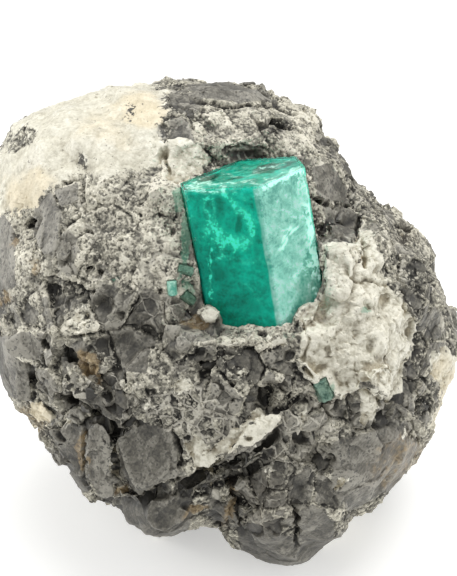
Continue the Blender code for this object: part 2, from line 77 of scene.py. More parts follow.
# %% [markdown]
# ## Where things are on the display face
#
# The stone's display face leans back by 35 degrees, and the eye stands square to it. A place on
# that face is easiest to give as the eye sees it, so this cell sets up two measures: millimetres
# across, up and out of the face from the stone's heart, and the place of a point in a picture
# frame 457 wide and 576 high. Both follow from the same few lengths.

# %% The display face
FACE_TILT = math.radians(35.0)
HEART = np.array((0.0, 0.0, 31.3 * MM))
ACROSS = np.array((1.0, 0.0, 0.0))
UP_FACE = np.array((0.0, math.sin(FACE_TILT), math.cos(FACE_TILT)))
OUT = np.array((0.0, -math.cos(FACE_TILT), math.sin(FACE_TILT)))
EYE_DISTANCE = 320.0 * MM
EYE_RISE = 5.4 * MM
FRAME_WIDE, FRAME_HIGH = 457, 576
PIXEL = 0.16 * MM
HEART_PIXEL = (228.0, 322.0)
EYE = HEART + UP_FACE * EYE_RISE + OUT * EYE_DISTANCE


def frame_place(points):
    """Where points in metres show in the picture frame, and how far out of the heart they are."""
    away = points - HEART
    out = away @ OUT
    spread = EYE_DISTANCE / (EYE_DISTANCE - out)
    across = (away @ ACROSS) * spread
    up = EYE_RISE + (away @ UP_FACE - EYE_RISE) * spread
    return HEART_PIXEL[0] + across / PIXEL, HEART_PIXEL[1] - up / PIXEL, out


print("eye at", np.round(EYE, 3))

# %% [markdown]
# ## The camera
#
# A lens looks the same from any maker if its angle is the same, so the focal length is worked
# out from how much height the picture shows at the stone's heart and how far away the eye is.

# %% Camera
SENSOR_HIGH = 36.0
camera_data = bpy.data.cameras.new("camera")
camera_data.sensor_fit = "VERTICAL"
camera_data.sensor_height = SENSOR_HIGH
camera_data.lens = SENSOR_HIGH * EYE_DISTANCE / (FRAME_HIGH * PIXEL)
camera_data.clip_start = 10 * MM
camera = bpy.data.objects.new("camera", camera_data)
camera.location = Vector(EYE) + Vector(ACROSS) * (FRAME_WIDE / 2 - HEART_PIXEL[0]) * PIXEL
camera.rotation_euler = (math.pi / 2 - FACE_TILT, 0.0, 0.0)
SCENE.objects.link(camera)
bpy.context.scene.camera = camera
print("lens", round(camera_data.lens, 1), "mm")

# %% [markdown]
# ## A helper for node trees
#
# Materials and Geometry Nodes are both trees of nodes. Written out link by link they are long
# and hard to read, so this small class adds one node per call and hands back its output, and a
# tree then reads like a sum. It works for both kinds, because most nodes are shared.

# %% Node tree helper
def opaque(colour):
    """A colour with full alpha, or a node's output as it is."""
    return (*colour, 1.0) if isinstance(colour, tuple) else colour


class Graph:
    """A node tree under construction, in millimetres."""

    def __init__(self, tree):
        self.tree = tree
        self.place = None

    def fill(self, made, inputs):
        """Fills a node's inputs with numbers or with other nodes' outputs."""
        for key, value in inputs.items():
            if isinstance(value, bpy.types.NodeSocket):
                self.tree.links.new(value, made.inputs[key])
            else:
                made.inputs[key].default_value = value

    def node(self, kind, inputs, **settings):
        made = self.tree.nodes.new(kind)
        for name, value in settings.items():
            setattr(made, name, value)
        self.fill(made, inputs)
        return made

    def share(self, name):
        """A number that the mesh keeps under this name."""
        if self.tree.bl_idname == "GeometryNodeTree":
            made = self.node("GeometryNodeInputNamedAttribute", {"Name": name}, data_type="FLOAT")
            return made.outputs["Attribute"]
        return self.node("ShaderNodeAttribute", {}, attribute_name=name).outputs["Fac"]

    def maths(self, operation, first, second=0.0):
        return self.node("ShaderNodeMath", {0: first, 1: second}, operation=operation).outputs[0]

    def total(self, *terms):
        result = terms[0]
        for term in terms[1:]:
            result = self.maths("ADD", result, term)
        return result

    def times(self, *terms):
        result = terms[0]
        for term in terms[1:]:
            result = self.maths("MULTIPLY", result, term)
        return result

    def sum_of(self, start, *parts):
        """A start plus parts, each of which is a value and its weight."""
        return self.total(start, *[self.times(value, weight) for value, weight in parts])

    def less(self, value, weight):
        """What is left of 1 when a part of the value is taken away."""
        return self.maths("SUBTRACT", 1.0, self.times(value, weight))

    def vector(self, operation, first, second=(0.0, 0.0, 0.0)):
        return self.node("ShaderNodeVectorMath", {0: first, 1: second}, operation=operation)

    def scaled(self, value, amount):
        """A vector made longer by an amount."""
        inputs = {0: value, "Scale": amount}
        return self.node("ShaderNodeVectorMath", inputs, operation="SCALE").outputs[0]

    def noise(self, size, detail=2.0, roughness=0.5, place=None):
        """Soft random clouds from -0.5 to 0.5 whose blobs are about this many mm wide."""
        inputs = {"Vector": place or self.place, "Scale": 1.0 / size, "Detail": detail,
                  "Roughness": roughness}
        made = self.node("ShaderNodeTexNoise", inputs)
        return self.maths("SUBTRACT", made.outputs[0], 0.5)

    def cells(self, size, place=None):
        """Random cells about this many mm wide."""
        inputs = {"Vector": place or self.place, "Scale": 1.0 / size}
        return self.node("ShaderNodeTexVoronoi", inputs)

    def split(self, colour):
        """A colour's three parts."""
        return self.node("ShaderNodeSeparateXYZ", {0: colour}).outputs

    def step(self, value, low, high, start=0.0, end=1.0):
        """A smooth step from start at low to end at high."""
        inputs = {"Value": value, "From Min": low, "From Max": high, "To Min": start, "To Max": end}
        made = self.node("ShaderNodeMapRange", inputs, interpolation_type="SMOOTHSTEP")
        return made.outputs["Result"]

    def fall(self, value, low, high, end=0.0):
        """A smooth step down from 1."""
        return self.step(value, low, high, 1.0, end)

    def blend(self, share, first, second):
        """One colour turning into another."""
        inputs = {0: share, 6: opaque(first), 7: opaque(second)}
        return self.node("ShaderNodeMix", inputs, data_type="RGBA", clamp_factor=True).outputs[2]

    def ramp(self, value, stops):
        """A colour ramp with these places and colours."""
        made = self.node("ShaderNodeValToRGB", {0: value})
        elements = made.color_ramp.elements
        elements.remove(elements[1])
        for index, (place, colour) in enumerate(stops):
            stop = elements.new(place) if index else elements[0]
            stop.position = place
            stop.color = opaque(colour)
        return made.outputs[0]

    def bump(self, height, strength, distance):
        """A normal that shows a height as small relief."""
        inputs = {"Height": height, "Strength": strength, "Distance": distance}
        return self.node("ShaderNodeBump", inputs).outputs[0]


print("graph helper ready")

# %% [markdown]
# ## The skin of the stone
#
# The solid has the stone's true form in a few thousand flat triangles. A broken stone needs far
# finer relief. A voxel remesh lays an even net of small squares over the solid, fine enough to
# carry crumbs and cracks, and closes every seam on the way. Loose triangles are merged first,
# because a remesh needs a closed surface to tell inside from outside.

# %% Skin net
NET_SIZE = 0.23 * MM
JOIN_WITHIN = 0.001 * MM
MERGE_WITHIN = 0.0002 * MM


def settle(obj):
    """Turns what the object's modifiers make into its plain mesh, and takes them off."""
    bpy.context.view_layer.update()
    graph = bpy.context.evaluated_depsgraph_get()
    mesh = bpy.data.meshes.new_from_object(obj.evaluated_get(graph))
    obj.modifiers.clear()
    old = obj.data
    obj.data = mesh
    bpy.data.meshes.remove(old)


def object_of(shape, name, collection=SCENE):
    """An object in a collection with a bmesh's shape. The bmesh is freed."""
    mesh = bpy.data.meshes.new(name)
    shape.to_mesh(mesh)
    shape.free()
    obj = bpy.data.objects.new(name, mesh)
    collection.objects.link(obj)
    return obj


def merged_copy(node, name):
    """A copy of a solid's mesh in a new object, with its loose triangles joined."""
    shape = bmesh.new()
    shape.from_mesh(frame["nodes"][node].data)
    bmesh.ops.remove_doubles(shape, verts=shape.verts[:], dist=JOIN_WITHIN)
    return object_of(shape, name)


def even_net(obj, size):
    """Lays an even net of squares of this size over the object's closed surface."""
    net = obj.modifiers.new("net", "REMESH")
    net.mode = "VOXEL"
    net.voxel_size = size
    settle(obj)


def corners_of(mesh):
    """The mesh's points as rows of three numbers."""
    flat = np.empty(len(mesh.vertices) * 3, dtype=np.float32)
    mesh.vertices.foreach_get("co", flat)
    return flat.reshape(-1, 3).astype(float)


def without_stray_faces(obj):
    """Merges points that fell together and keeps the largest connected part of the mesh."""
    shape = bmesh.new()
    shape.from_mesh(obj.data)
    bmesh.ops.remove_doubles(shape, verts=shape.verts[:], dist=MERGE_WITHIN)
    unseen, largest = set(shape.faces), []
    while unseen:
        part = [unseen.pop()]
        for face in part:
            for edge in face.edges:
                others = edge.link_faces if len(edge.link_faces) == 2 else ()
                fresh = [other for other in others if other in unseen]
                unseen.difference_update(fresh)
                part.extend(fresh)
        largest = max(largest, part, key=len)
    kept = set(largest)
    stray = [face for face in shape.faces if face not in kept]
    bmesh.ops.delete(shape, geom=stray, context="FACES")
    shape.to_mesh(obj.data)
    shape.free()
    print(obj.name, "loses", len(stray), "stray faces")


stone = merged_copy("matrix", "stone_skin")
even_net(stone, NET_SIZE)
print("net:", len(stone.data.vertices), "points")

# %% [markdown]
# ## Which mineral is where
#
# The stone's colours follow its minerals, and each mineral breaks in its own way, so one map
# serves both the relief and the colour. The dark patches are partly dark rock and partly painted
# shade, where pits, cracks, ledges, the recess behind the large crystal and the stone's
# underside lie in shadow. Each patch is an outline or an oval in the picture frame, with a
# strength and a soft edge. Random clouds push the edges about, because no mineral ends on a
# clean line. The result is stored on the skin's points as named attributes, which Geometry
# Nodes and materials can both read.

# %% Mineral patches
OUTLINES = {
    "calcite": [
        (1.0, 9, [(-15, 222), (0, 218), (30, 208), (45, 192), (70, 175), (78, 172), (100, 178),
                  (120, 170), (165, 166), (168, 152), (155, 130), (162, 112), (166, 94),
                  (150, 76), (90, 78), (40, 98), (0, 130), (-20, 165)]),
        (1.0, 6, [(322, 245), (345, 240), (352, 262), (380, 270), (395, 290), (412, 300),
                  (416, 330), (408, 360), (400, 392), (380, 396), (362, 385), (355, 397),
                  (340, 400), (328, 395), (318, 383), (305, 378), (297, 358), (300, 335),
                  (305, 320), (318, 300), (326, 285)]),
        (0.95, 3, [(348, 238), (362, 232), (378, 238), (386, 252), (388, 268), (378, 276),
                   (360, 272), (350, 262)]),
        (1.0, 2, [(203, 460), (232, 432), (262, 411), (279, 411), (262, 436), (228, 457)]),
        (0.9, 3, [(182, 446), (196, 438), (206, 452), (216, 462), (204, 477), (190, 470)]),
        (1.0, 2, [(195, 311), (208, 303), (218, 310), (212, 320), (200, 321)]),
        (1.0, 2, [(297, 318), (301, 307), (315, 299), (326, 297), (322, 310), (308, 322)]),
        (0.9, 4, [(161, 146), (176, 138), (200, 144), (208, 158), (200, 172), (181, 182),
                  (166, 176)]),
        (0.9, 3, [(361, 392), (376, 394), (374, 412), (366, 426), (359, 418)]),
        (0.8, 4, [(430, 345), (446, 348), (458, 360), (450, 400), (436, 434), (428, 420),
                  (440, 392), (434, 368)]),
        (0.8, 3, [(22, 404), (38, 404), (52, 418), (46, 428), (30, 420)]),
    ],
    "shale": [
        (1.0, 3, [(35, 205), (52, 192), (62, 214), (58, 248), (44, 256), (34, 236)]),
        (0.9, 3, [(54, 190), (78, 182), (80, 200), (62, 208)]),
        (1.0, 3, [(-15, 225), (4, 216), (16, 228), (15, 288), (-15, 300)]),
        (1.0, 4, [(186, 84), (222, 82), (262, 90), (272, 100), (240, 104), (200, 98)]),
        (1.0, 3, [(314, 166), (330, 164), (348, 190), (345, 202), (318, 200)]),
        (1.0, 3, [(322, 208), (346, 204), (364, 222), (352, 236), (328, 230)]),
        (1.0, 2, [(118, 438), (135, 428), (160, 426), (170, 430), (178, 445), (180, 475),
                  (160, 483), (138, 495), (128, 485), (120, 465)]),
        (1.0, 2, [(88, 425), (100, 422), (110, 437), (110, 470), (115, 503), (100, 500),
                  (85, 478), (86, 445)]),
        (1.0, 2, [(75, 392), (95, 380), (105, 408), (128, 432), (112, 428), (92, 408)]),
        (0.8, 3, [(110, 336), (132, 330), (152, 350), (148, 374), (124, 374)]),
        (1.0, 3, [(-10, 350), (12, 352), (30, 366), (30, 404), (10, 396), (-8, 384)]),
        (1.0, 4, [(118, 498), (160, 494), (192, 500), (188, 536), (150, 540), (120, 520)]),
        (0.9, 3, [(48, 430), (84, 426), (88, 500), (68, 484)]),
        (0.9, 3, [(-10, 338), (30, 333), (46, 344), (40, 362), (12, 354), (-10, 352)]),
        (0.9, 4, [(238, 522), (262, 530), (300, 540), (334, 520), (336, 556), (300, 574),
                  (262, 572), (240, 552)]),
        (1.0, 3, [(298, 512), (324, 508), (334, 536), (312, 560), (298, 548)]),
        (0.75, 8, [(330, 440), (392, 424), (424, 446), (400, 488), (352, 512), (330, 490)]),
        (1.0, 2, [(178, 486), (215, 464), (248, 448), (284, 422), (288, 436), (250, 466),
                  (205, 490)]),
    ],
    "pale": [
        (0.8, 12, [(100, 176), (165, 172), (182, 190), (185, 262), (172, 290), (140, 300),
                   (108, 282), (92, 245), (94, 205)]),
        (0.7, 8, [(196, 100), (262, 98), (268, 140), (205, 148), (190, 130)]),
        (1.0, 6, [(268, 134), (318, 128), (336, 160), (318, 168), (296, 150), (272, 150)]),
        (1.0, 5, [(308, 166), (322, 180), (322, 226), (314, 228)]),
        (0.1, 8, [(348, 200), (366, 204), (402, 240), (414, 290), (398, 286), (372, 240)]),
        (0.2, 6, [(380, 212), (418, 212), (428, 250), (404, 244)]),
        (0.9, 10, [(40, 182), (75, 166), (120, 160), (165, 155), (188, 182), (150, 198),
                   (100, 196), (60, 206)]),
        (0.9, 4, [(0, 336), (40, 334), (48, 352), (10, 362)]),
        (0.4, 4, [(60, 372), (72, 364), (94, 378), (70, 396)]),
        (0.15, 10, [(160, 390), (235, 395), (300, 440), (240, 470), (165, 445)]),
        (0.75, 12, [(15, 200), (100, 200), (100, 295), (5, 302)]),
        (0.3, 12, [(230, 335), (300, 340), (300, 400), (240, 410)]),
    ],
}

# Ovals: strength, middle x and y, half width, half height, turn in degrees
OVALS = {
    "calcite": [
        (-0.7, 20, 138, 22, 10, -35), (-0.5, 128, 110, 10, 7, 20), (-0.5, 84, 162, 6, 8, 0),
        (-0.4, 124, 138, 7, 8, 0), (0.7, 180, 388, 12, 9, -20), (0.7, 274, 340, 9, 9, 0),
        (0.6, 306, 411, 6, 11, 0), (0.7, 414, 417, 6, 5, 0), (0.7, 407, 434, 5, 6, 0),
        (0.7, 341, 479, 7, 9, 0), (0.6, 306, 115, 7, 7, 0), (0.6, 124, 257, 13, 6, 30),
        (0.6, 356, 250, 10, 12, 0), (0.7, 376, 262, 9, 12, 0), (-0.6, 366, 256, 4, 13, 20),
        (0.5, 240, 372, 7, 5, 0), (0.5, 150, 412, 7, 4, 0), (0.55, 288, 300, 30, 14, 0),
        (0.55, 118, 472, 3, 30, -8), (0.5, 60, 420, 8, 4, 40), (0.5, 270, 470, 9, 4, 30),
        (0.4, 230, 120, 14, 8, 0), (0.5, 398, 318, 10, 8, 0), (0.5, 232, 342, 10, 6, 0),
        (0.5, 84, 322, 13, 24, -10),
    ],
    "pale": [
        (1.4, 100, 462, 14, 42, -4), (1.3, 5, 255, 14, 40, 0), (0.9, 20, 350, 26, 14, 0),
        (0.6, 330, 182, 18, 18, 0), (0.9, 312, 128, 18, 22, 0), (0.8, 95, 320, 40, 20, 0),
        (1.5, 295, 145, 26, 14, 0), (0.9, 286, 112, 18, 12, 0), (0.6, 375, 462, 46, 30, -20),
    ],
    "cream": [
        (1.0, 140, 108, 26, 16, 10), (0.8, 30, 190, 34, 26, -35), (0.5, 100, 125, 34, 20, -20),
        (1.0, 37, 415, 16, 12, 40), (0.6, 442, 388, 14, 44, 5), (0.5, 118, 140, 20, 14, 0),
    ],
    "rust": [
        (1.0, 89, 364, 19, 12, 40), (0.8, 80, 452, 6, 20, 0), (0.8, 14, 243, 5, 9, 0),
        (0.7, 4, 302, 8, 8, 0), (0.6, 35, 264, 6, 12, 0), (0.8, 193, 323, 13, 8, 10),
        (0.8, 193, 513, 10, 6, 0), (0.7, 118, 487, 7, 6, 0), (0.9, 370, 257, 5, 8, 0),
        (0.7, 231, 505, 6, 26, 8), (0.5, 400, 460, 40, 30, -40), (0.3, 268, 500, 30, 36, 0),
        (0.6, 30, 420, 22, 10, 40), (0.4, 232, 175, 8, 5, 0), (0.4, 410, 236, 16, 12, 0),
    ],
    # Green patches: green stain and small green grains, and beside the large crystal's left edge a
    # painted green shade on the pocket wall.
    "green": [
        (1.0, 324, 390, 13, 12, 0), (0.8, 364, 312, 8, 4, 0), (0.5, 112, 279, 9, 7, 0),
        (0.4, 155, 165, 7, 11, 0), (0.8, 177, 198, 8, 18, 0), (0.7, 192, 285, 10, 10, 0),
        (0.9, 185, 238, 8, 46, 5), (0.5, 284, 334, 10, 5, 0), (0.5, 330, 300, 6, 16, 0),
    ],
    # Dark patches: dark shale, and painted shade in pits, cracks, under ledges, behind and beside the
    # large crystal and on the underside.
    "dark": [
        (0.8, 265, 136, 26, 18, 0), (1.0, 250, 156, 20, 8, 0), (0.7, 170, 115, 10, 26, 0),
        (0.6, 220, 360, 42, 22, 10), (0.8, 60, 352, 20, 7, 20), (0.8, 92, 402, 28, 7, 40),
        (0.9, 268, 398, 9, 14, 0), (0.8, 235, 480, 50, 12, -28), (0.7, 150, 320, 46, 14, 10),
        (0.8, 334, 204, 18, 4, 5), (0.8, 320, 232, 6, 8, 0), (0.6, 205, 500, 30, 12, -10),
        (0.6, 300, 470, 26, 22, 0), (0.6, 70, 462, 20, 26, 0), (0.7, 165, 155, 8, 10, 20),
        (0.5, 330, 440, 34, 16, -20), (0.9, 414, 290, 22, 38, 10), (0.5, 205, 96, 30, 8, 0),
        (0.7, 296, 326, 12, 5, -30), (0.6, 400, 405, 20, 10, 0), (0.6, 225, 540, 14, 24, 0),
        (0.9, 130, 515, 50, 16, 10), (0.3, 290, 100, 26, 8, 20), (0.9, 268, 510, 38, 46, 0),
        (0.7, 342, 220, 20, 12, 0), (0.5, 280, 420, 30, 20, -20), (0.6, 140, 408, 44, 24, 10),
        (0.6, 195, 420, 42, 26, 0), (1.2, 184, 236, 7, 50, 5),
    ],
    "massive": [(1.0, 80, 140, 110, 75, -15)],
    "rubble": [
        (1.0, 85, 410, 60, 80, -20), (0.8, 250, 372, 60, 36, 0), (0.7, 350, 430, 80, 40, -10),
        (0.6, 300, 120, 60, 30, 30), (0.7, 130, 320, 60, 24, 0), (0.6, 400, 360, 24, 60, 0),
        (0.5, 70, 270, 30, 50, 0), (0.7, 240, 500, 40, 30, 0),
    ],
    "veined": [
        (1.0, 195, 420, 45, 30, 0), (0.8, 115, 395, 30, 20, 30), (0.6, 308, 425, 34, 32, 0),
        (0.3, 395, 405, 26, 20, 0),
    ],
}
print("patches:", {name: len(rows) for name, rows in OVALS.items()})

# %% [markdown]
# ## Random numbers for many points at once
#
# The patches are worked out in Python for every point of the skin, so the random clouds are too.
# Each corner of a cubic lattice gets a fixed random number from a sum of sines, and a point's
# value is the smooth mean of the eight corners around it.

# %% Clouds
def lattice(corner):
    """A fixed random number from 0 to 1 for each whole-numbered corner."""
    mixed = np.sin(corner @ np.array((127.1, 311.7, 74.7))) * 43758.5453
    return mixed - np.floor(mixed)


def cloud(points, size):
    """Smooth random values from -1 to 1, whose blobs are about this many metres wide."""
    place = points / size
    base = np.floor(place)
    share = place - base
    share = share * share * (3.0 - 2.0 * share)
    total = np.zeros(len(points))
    for step in np.ndindex(2, 2, 2):
        weight = np.prod(np.where(step, share, 1.0 - share), axis=1)
        total += weight * lattice(base + step)
    return total * 2.0 - 1.0


def smooth(low, high, value):
    """0 at low, 1 at high and beyond, and an even slope between them."""
    share = np.clip((value - low) / (high - low), 0.0, 1.0)
    return share * share * (3.0 - 2.0 * share)


print("clouds ready")

# %% [markdown]
# ## Painting the map on the skin
#
# An outline's soft edge needs each point's distance to it, inside or out. That is the distance
# to the nearest of its sides, with its sign from a count of the sides that a ray would cross.
# Only the side of the stone that faces the eye has named patches. The sides, the back and the
# underside show the same minerals, so there large clouds stand in for the patches. Near the
# stone's rim the patches' edges wander more, or they would run straight back from the eye.

# %% Map functions
MINERALS = (
    "calcite", "cream", "pale", "shale", "rust", "green", "dark", "massive", "veined", "rubble")
PATCH_SHIFTS = ((7.0, 4.0 * MM), (3.5, 1.3 * MM))
SLAB_SHIFT = 0.25
FAR_SHIFT = 28.0
FAR_SHIFT_SIZE = 9.0 * MM
FAR_FROM = (12.0 * MM, -2.0 * MM)
SIDE_EDGE = (-8.0 * MM, 4.0 * MM)


def from_side(x, y, x1, y1, run_x, run_y):
    """How far each place is from the nearest point of a side, and where on the side that is."""
    share = ((x - x1) * run_x + (y - y1) * run_y) / (run_x ** 2 + run_y ** 2)
    share = np.clip(share, 0.0, 1.0)
    return x - x1 - share * run_x, y - y1 - share * run_y, share


def outline_depth(x, y, outline):
    """How far each place lies inside an outline, in pixels; outside it is negative."""
    nearest = np.full(len(x), 1e9)
    inside = np.zeros(len(x), dtype=bool)
    for (x1, y1), (x2, y2) in zip(outline, outline[1:] + outline[:1]):
        run_x, run_y = x2 - x1, y2 - y1
        away_x, away_y, _ = from_side(x, y, x1, y1, run_x, run_y)
        nearest = np.minimum(nearest, np.hypot(away_x, away_y))
        if run_y:
            crosses = (y1 > y) != (y2 > y)
            inside ^= crosses & (x < x1 + run_x * (y - y1) / run_y)
    return np.where(inside, nearest, -nearest)


def oval_depth(x, y, middle_x, middle_y, half_wide, half_high, turn):
    """1 in an oval's middle, 0 on its rim, less outside."""
    angle = math.radians(turn)
    along = (x - middle_x) * math.cos(angle) + (y - middle_y) * math.sin(angle)
    aside = (y - middle_y) * math.cos(angle) - (x - middle_x) * math.sin(angle)
    return 1.0 - np.hypot(along / half_wide, aside / half_high)


def pushed(points, x, y, shifts, apart=1.0):
    """Places pushed about by clouds. Each shift is an amount in pixels and a cloud's size."""
    for shift, size in shifts:
        x = x + shift * cloud(points, size)
        y = y + shift * cloud(points + apart, size)
    return x, y


def mineral_map(points):
    """Each mineral's share at each point. 1 is full, and strong patches go a little over it."""
    x, y, out = frame_place(points)
    shift_x, shift_y = pushed(points, 0.0, 0.0, PATCH_SHIFTS, 0.5)
    far = FAR_SHIFT * smooth(*FAR_FROM, out)
    shift_x += far * cloud(points + 9.0, FAR_SHIFT_SIZE)
    shift_y += far * cloud(points + 9.5, FAR_SHIFT_SIZE)
    facing = smooth(*SIDE_EDGE, out)
    found = {}
    for name in MINERALS:
        sway = SLAB_SHIFT if name == "shale" else 1.0
        near_x, near_y = x + sway * shift_x, y + sway * shift_y
        share = np.zeros(len(points))
        for strength, edge, outline in OUTLINES.get(name, []):
            depth = outline_depth(near_x, near_y, outline)
            share = np.maximum(share, strength * smooth(-edge, edge, depth))
        for strength, *oval in OVALS.get(name, []):
            patch = smooth(-0.25, 0.45, oval_depth(near_x, near_y, *oval))
            if strength > 0:
                share = np.maximum(share, strength * patch)
            else:
                share *= 1.0 + strength * patch
        found[name] = share * facing
    hidden = 1.0 - facing
    broad = cloud(points + 3.0, 15 * MM) + 0.4 * cloud(points + 4.0, 5 * MM)
    found["calcite"] += hidden * 0.9 * smooth(0.42, 0.62, broad)
    found["shale"] += hidden * smooth(0.1, 0.4, -cloud(points + 5.0, 9 * MM))
    found["pale"] += hidden * 0.7 * smooth(-0.1, 0.5, cloud(points + 6.0, 12 * MM))
    found["rust"] += hidden * 0.7 * smooth(0.45, 0.75, cloud(points + 7.0, 8 * MM))
    found["cream"] += hidden * smooth(0.2, 0.6, cloud(points + 8.0, 20 * MM))
    found["rubble"] += hidden * 0.4
    return found


def store(mesh, name, values):
    """Keeps one number for each point of a mesh under a name."""
    layer = mesh.attributes.get(name) or mesh.attributes.new(name, "FLOAT", "POINT")
    layer.data.foreach_set("value", np.clip(values, -10.0, 10.0).astype(np.float32))


points = corners_of(stone.data)
store(stone.data, "hidden", 1.0 - smooth(*SIDE_EDGE, frame_place(points)[2]))
for name, share in mineral_map(points).items():
    store(stone.data, name, share)
    print(f"{name}: {share.mean():.2f} of the skin")

# %% [markdown]
# ## Holes, cracks and ledges
#
# Some hollows are seen so clearly that each gets its own place: black pits, cracks between
# clasts, and ledges that throw a shadow. They are stored as one more attribute, the height in
# millimetres that the skin rises or sinks there. Near the crystals the skin keeps still, and the
# walls of their pockets come in until the gap almost closes, because real crystals grew there.

# %% Placed relief
PITS = [
    (32, 224, 4, 5, 0, 1.6), (82, 199, 3, 3, 0, 1.0), (90, 270, 4, 3, 0, 1.0),
    (101, 273, 3, 3, 0, 0.9), (92, 293, 3, 4, 0, 1.0), (160, 292, 4, 3, 0, 1.0),
    (163, 155, 4, 8, 25, 1.2), (250, 157, 18, 6, 0, 1.2), (334, 204, 16, 3, 6, 1.2),
    (320, 231, 4, 7, 0, 1.4), (48, 343, 5, 7, 0, 1.2), (67, 355, 8, 5, 20, 1.4),
    (99, 381, 5, 7, 20, 1.2), (70, 400, 9, 4, 10, 1.2), (96, 414, 5, 6, 30, 1.2),
    (268, 398, 7, 12, 0, 1.6), (262, 332, 4, 3, 0, 1.2), (200, 352, 6, 4, 30, 0.8),
    (366, 256, 2.5, 12, 20, 0.7), (366, 306, 6, 3, 30, 0.9), (371, 347, 5, 7, 20, 0.6),
    (330, 352, 3, 6, 0, 0.5),
    (300, 440, 8, 6, 0, 1.3), (330, 460, 7, 4, -20, 1.0), (235, 476, 34, 6, -28, 1.8),
    (196, 492, 14, 4, -20, 1.2), (110, 425, 7, 3, 30, 1.0), (116, 470, 2.5, 30, -6, 1.0),
    (60, 438, 8, 4, 40, 1.0), (66, 470, 6, 5, 40, 1.0), (190, 286, 9, 10, 0, 1.0),
    (230, 510, 3, 24, 8, 1.2), (296, 520, 3, 20, 0, 0.9), (412, 330, 4, 10, 0, 0.9),
    (388, 410, 12, 4, -20, 0.9), (420, 400, 4, 12, 15, 0.9), (250, 438, 4, 3, 0, 0.8),
    (150, 330, 8, 4, 0, 0.8), (120, 316, 6, 4, 20, 0.8), (205, 376, 6, 4, 0, 0.8),
    (232, 386, 5, 4, 0, 0.8), (150, 392, 6, 4, 20, 0.8), (290, 356, 5, 5, 0, 0.9),
    (172, 232, 3, 4, 0, 0.6), (140, 215, 3, 3, 0, 0.6), (120, 240, 4, 3, 0, 0.6),
    (90, 232, 4, 4, 0, 0.7), (64, 262, 4, 5, 0, 0.8), (52, 290, 5, 4, 0, 0.8),
]
CRACKS = [
    (1.2, 4, [(58, 346), (72, 356), (100, 384), (112, 402)]),
    (1.2, 4, [(58, 396), (80, 402), (100, 420), (118, 436)]),
    (1.0, 3, [(116, 434), (112, 462), (118, 492)]),
    (1.0, 3, [(120, 488), (138, 498), (162, 486), (184, 478)]),
    (0.9, 3, [(180, 474), (180, 446), (170, 428)]),
    (0.9, 3, [(84, 424), (84, 480), (100, 504)]),
    (1.2, 3, [(314, 198), (330, 206), (352, 204)]),
    (1.0, 3, [(348, 192), (362, 214), (354, 238), (330, 234)]),
    (1.0, 3, [(228, 466), (234, 500), (244, 534)]),
    (0.8, 3, [(296, 508), (297, 548)]),
    (0.8, 3, [(158, 148), (166, 158), (170, 172)]),
    (0.5, 3, [(300, 318), (310, 340), (300, 362)]),
    (0.5, 3, [(342, 272), (362, 282), (392, 284)]),
    (0.8, 3, [(360, 232), (368, 250), (362, 272)]),
    (0.9, 3, [(398, 252), (404, 290), (408, 322)]),
    (0.9, 4, [(298, 362), (318, 390), (342, 404), (362, 392), (384, 402), (404, 396)]),
    (0.8, 3, [(186, 100), (232, 106), (276, 104), (300, 118)]),
    (0.8, 3, [(60, 184), (82, 178), (84, 202)]),
]
LEDGES = [
    (2.0, 26, [(172, 490), (197, 473), (228, 460), (256, 449), (287, 419)]),
    (1.2, 18, [(247, 403), (275, 408), (303, 394), (334, 403), (362, 391)]),
    (1.0, 16, [(106, 497), (137, 498), (178, 481)]),
    (0.8, 12, [(218, 150), (244, 144), (276, 151)]),
]
PLACED_SHIFTS = ((2.5, 1.2 * MM), (1.2, 0.5 * MM))
PIT_SPREAD = 1.4
RIM_FADE = 6.0 * MM
STILL_NEAR = 0.35 * MM
MOVES_FROM = 1.4 * MM
GAP_FILL = 0.29
FILL_EDGE = (0.34 * MM, 0.6 * MM)
FOOT_EDGE = (0.3 * MM, 2.0 * MM)


def line_place(x, y, line):
    """The distance to a broken line, which side of it each place is on, and how far along."""
    nearest = np.full(len(x), 1e9)
    side, along = np.zeros(len(x)), np.zeros(len(x))
    for index, ((x1, y1), (x2, y2)) in enumerate(zip(line, line[1:])):
        run_x, run_y = x2 - x1, y2 - y1
        away_x, away_y, share = from_side(x, y, x1, y1, run_x, run_y)
        distance = np.hypot(away_x, away_y)
        closer = distance < nearest
        nearest = np.where(closer, distance, nearest)
        side = np.where(closer, np.sign(run_x * away_y - run_y * away_x), side)
        along = np.where(closer, (index + share) / (len(line) - 1), along)
    return nearest, side, along


def placed_relief(points):
    """The rise in mm from the placed pits, cracks and ledges."""
    x, y, out = frame_place(points)
    x, y = pushed(points, x, y, PLACED_SHIFTS)
    rise = np.zeros(len(points))
    for middle_x, middle_y, half_wide, half_high, turn, depth in PITS:
        patch = oval_depth(x, y, middle_x, middle_y, half_wide * PIT_SPREAD,
                           half_high * PIT_SPREAD, turn)
        rise -= depth * smooth(0.0, 0.7, patch)
    for depth, half_wide, line in CRACKS:
        distance, _, along = line_place(x, y, line)
        ends = smooth(0.0, 0.1, along) * smooth(1.0, 0.9, along)
        rise -= depth * ends * (1.0 - smooth(0.0, half_wide, distance))
    for drop, reach, line in LEDGES:
        distance, side, along = line_place(x, y, line)
        ends = smooth(0.0, 0.2, along) * smooth(1.0, 0.8, along)
        fade = np.clip(1.0 - distance / reach, 0.0, 1.0) ** 2
        below = smooth(-1.0, 1.0, side * np.minimum(distance, 2.0))
        rise -= drop * ends * fade * below
    return rise * smooth(0.0, RIM_FADE, out)


def distance_to(node, points, reach):
    """Each point's distance to a solid, or reach where it is farther."""
    mesh = frame["nodes"][node].data
    tree = BVHTree.FromPolygons([v.co for v in mesh.vertices], [p.vertices for p in mesh.polygons])
    low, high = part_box(node)
    near = np.all((points > np.array(low) - reach) & (points < np.array(high) + reach), axis=1)
    found = np.full(len(points), reach)
    for index in np.flatnonzero(near):
        hit = tree.find_nearest(Vector(points[index]), reach)
        if hit[0] is not None:
            found[index] = hit[3]
    return found


